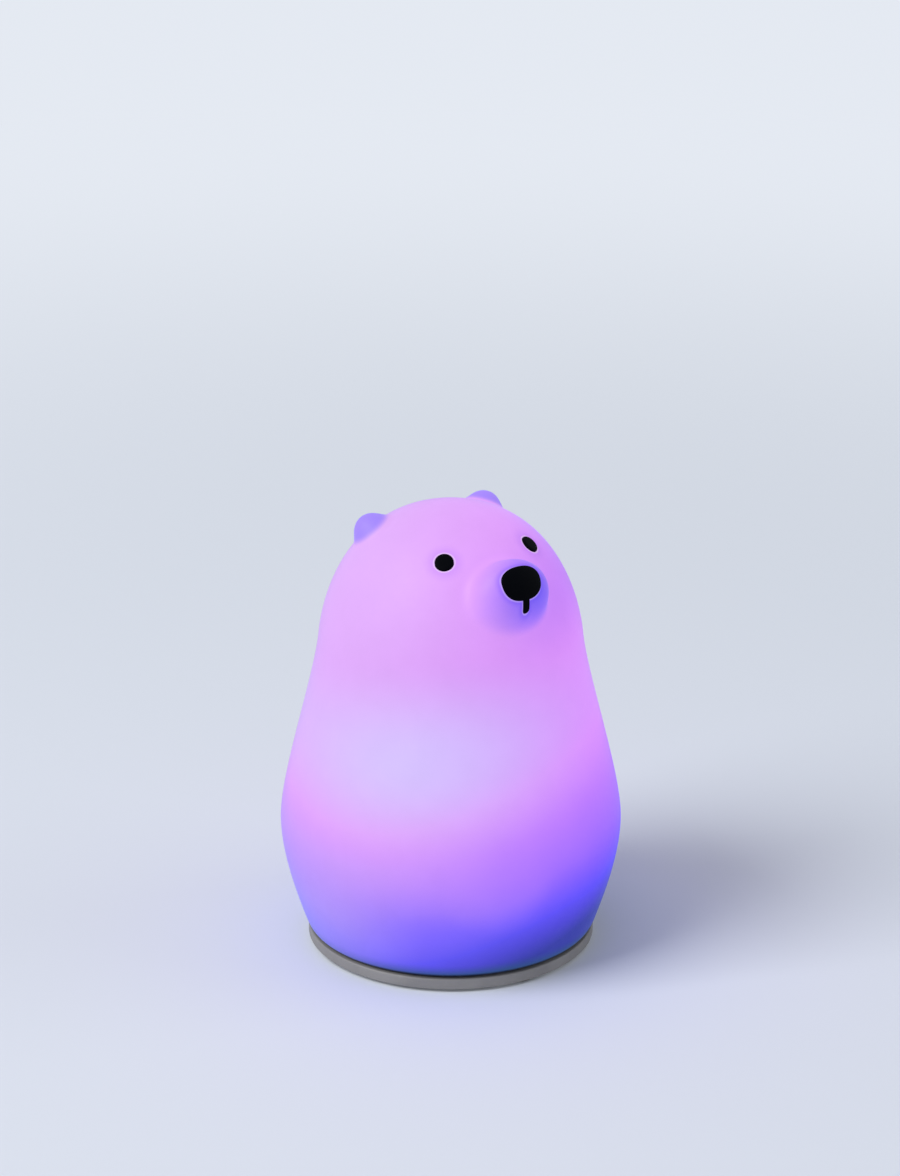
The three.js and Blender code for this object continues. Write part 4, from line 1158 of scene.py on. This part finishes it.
# %% A copy of the cover
def mended(mesh, turn=0):
    """Merges what lies on one spot, and makes flat faces whole where a turn is given."""
    work = bmesh.new()
    work.from_mesh(mesh)
    bmesh.ops.remove_doubles(work, verts=work.verts, dist=0.0005 * MM)
    if turn:
        flat = {"verts": work.verts, "edges": work.edges, "angle_limit": math.radians(turn)}
        bmesh.ops.dissolve_limit(work, **flat)
    work.to_mesh(mesh)
    work.free()


def open_edges(piece):
    """How many edges don't lie between exactly two faces."""
    work = bmesh.new()
    work.from_mesh(piece.data)
    count = sum(not edge.is_manifold for edge in work.edges)
    work.free()
    return count


skin = frame["nodes"]["base_cover"].data.copy()
skin.name = "cover_shell"
mended(skin)
cover = placed(skin.name, skin)
print("Open edges of the copy:", open_edges(cover))

# %% The ring of the cover
RING_HEIGHT, RING_EDGE, BAND_WIDTH = 3.4, 0.5, 0.75
low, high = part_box("base_cover")
RING_RADIUS, RING_LOW = high[0] / MM, low[2] / MM
RING_TOP = RING_LOW + RING_HEIGHT


def quarter(radius, height, size):
    """A rounded lower edge, from the side to the bottom."""
    angles = np.linspace(0, math.pi / 2, 6)
    return [(radius - size * (1 - math.cos(a)), height + size * (1 - math.sin(a))) for a in angles]


low_edge = quarter(RING_RADIUS, RING_LOW, RING_EDGE)[::-1]
top_edge = [(radius, RING_LOW + RING_TOP - height) for radius, height in low_edge[::-1]]
inner = RING_RADIUS - BAND_WIDTH
band = hoop("ring_band", [(inner, RING_LOW), *low_edge, *top_edge, (inner, RING_TOP)], 288)
joined(cover, band, "UNION", solver="MANIFOLD")
print("Ring radius:", round(RING_RADIUS, 3), "open edges with the band:", open_edges(cover))

# %% Seats and soft edges
FEET = [f"foot_{i}" for i in range(1, 5)]
SCREWS = [f"cover_screw_{i}" for i in range(1, 5)]
# The pieces that sit there, and each seat's radius and top
ROUND_SEATS = [(FEET, 4.81, 1.71), (SCREWS, 3.01, 2.61), (["mode_button"], 4.31, 3.3)]


def middle_of(node):
    """The middle of a solid's box, in millimetres."""
    low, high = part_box(node)
    return (low + high) / 2 / MM


for nodes, radius, top in ROUND_SEATS:
    for node in nodes:
        x, y, _ = middle_of(node)
        cutter = moved(drum("seat", radius, -1, top, 64), Matrix.Translation((x * MM, y * MM, 0)))
        joined(cover, cutter, "DIFFERENCE", solver="MANIFOLD")
mended(cover.data, turn=0.5)
softened(cover, 0.12, segments=2, angle=40)
print("Open edges at the end:", open_edges(cover))
finished(cover, "base_plastic", "base_cover", angle=30, flat=True)

# %% [markdown]
# ## Feet and screws
#
# The cover stands on four rubber feet and is held by four screws, all alike. One of each is
# described, as a line that is turned round its axis, and Geometry Nodes sets a copy of it on
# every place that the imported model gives. The screws' cross recesses are cut in the same tree,
# and each screw ends at its own angle, as screws do.

# %% What repeats under the base
def copies_tree(name, sizes):
    """Turns the start line round Z, cuts a cross where one is asked for, and sets the copies."""
    g = Builder(name, sizes)
    sheet, row, turn = sheet_round_line(g)
    one = g.welded(g.shaped(sheet, Position=swept(g, on_line(g, row, g.position()), turn)))
    if "Slot Length" in sizes:
        long, wide, deep = [g[f"Slot {side}"] for side in ("Length", "Width", "Depth")]
        middle = g.join(0.0, 0.0, g["Slot Height"])
        for size in (g.join(long, wide, deep * 2), g.join(wide, long, deep * 2)):
            bar = g.add("GeometryNodeMeshCube", {"Size": size}, "Mesh")
            bar = g.add("GeometryNodeTransform", {"Geometry": bar, "Translation": middle})
            cut = {"Mesh 1": one, "Mesh 2": bar}
            one = g.add("GeometryNodeMeshBoolean", cut, "Mesh", solver="EXACT")
    places = g.add("GeometryNodeObjectInfo", {"Object": g["Places"]}, "Geometry")
    spin = {"Min": (0, 0, 0), "Max": (0, 0, math.tau), "Seed": g["Seed"]}
    spin = g.add("FunctionNodeRandomValue", spin, data_type="FLOAT_VECTOR")
    copies = {"Points": places, "Instance": one, "Rotation": spin}
    g.finish(g.add("GeometryNodeInstanceOnPoints", copies))
    return g


def copies(name, profile, nodes, slot, sizes):
    """One piece that stands for several alike solids, with a copy on the middle of each."""
    places = add_piece(name + "_places", [(*middle_of(node).xy, 0) for node in nodes])
    start = add_piece(name, [(radius, 0, height) for radius, height in profile])
    g = copies_tree(name, {"Places": places, "Material": FINISHES[slot], **sizes})
    piece = g.run(name, start)
    bpy.data.objects.remove(places)
    finished(piece, slot, *nodes, angle=30)


# %% Feet
FOOT_RADIUS, FOOT_EDGE = 4.5, 0.4
foot_low, foot_high = [corner[2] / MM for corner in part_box("foot_1")]
foot_line = [
    (0, foot_high), (FOOT_RADIUS, foot_high), *quarter(FOOT_RADIUS, foot_low, FOOT_EDGE),
    (0, foot_low),
]
copies("rubber_feet", foot_line, FEET, "foot_rubber", {"Columns": 64, "Seed": 1})

# %% Screws of the cover
HEAD_RADIUS, HEAD_HEIGHT, HEAD_BRIM, SHANK_RADIUS = 2.7, 1.5, 0.45, 1.4
screw_low, screw_high = [corner[2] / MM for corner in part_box("cover_screw_1")]
seat = screw_low + HEAD_HEIGHT
dome = [
    (HEAD_RADIUS * math.cos(a), screw_low + (HEAD_HEIGHT - HEAD_BRIM) * (1 - math.sin(a)))
    for a in np.linspace(0, math.pi / 2, 9)[:-1]
]
screw_line = [
    (0, screw_high), (SHANK_RADIUS * 0.5, screw_high), (SHANK_RADIUS, screw_high - SHANK_RADIUS),
    (SHANK_RADIUS, seat), (HEAD_RADIUS, seat), *dome, (0, screw_low),
]
cross = {"Slot Length": 3 * MM, "Slot Width": 0.7 * MM, "Slot Depth": 0.8 * MM}
cross |= {"Slot Height": screw_low * MM, "Columns": 48, "Seed": 3}
copies("cover_screws", screw_line, SCREWS, "steel", cross)
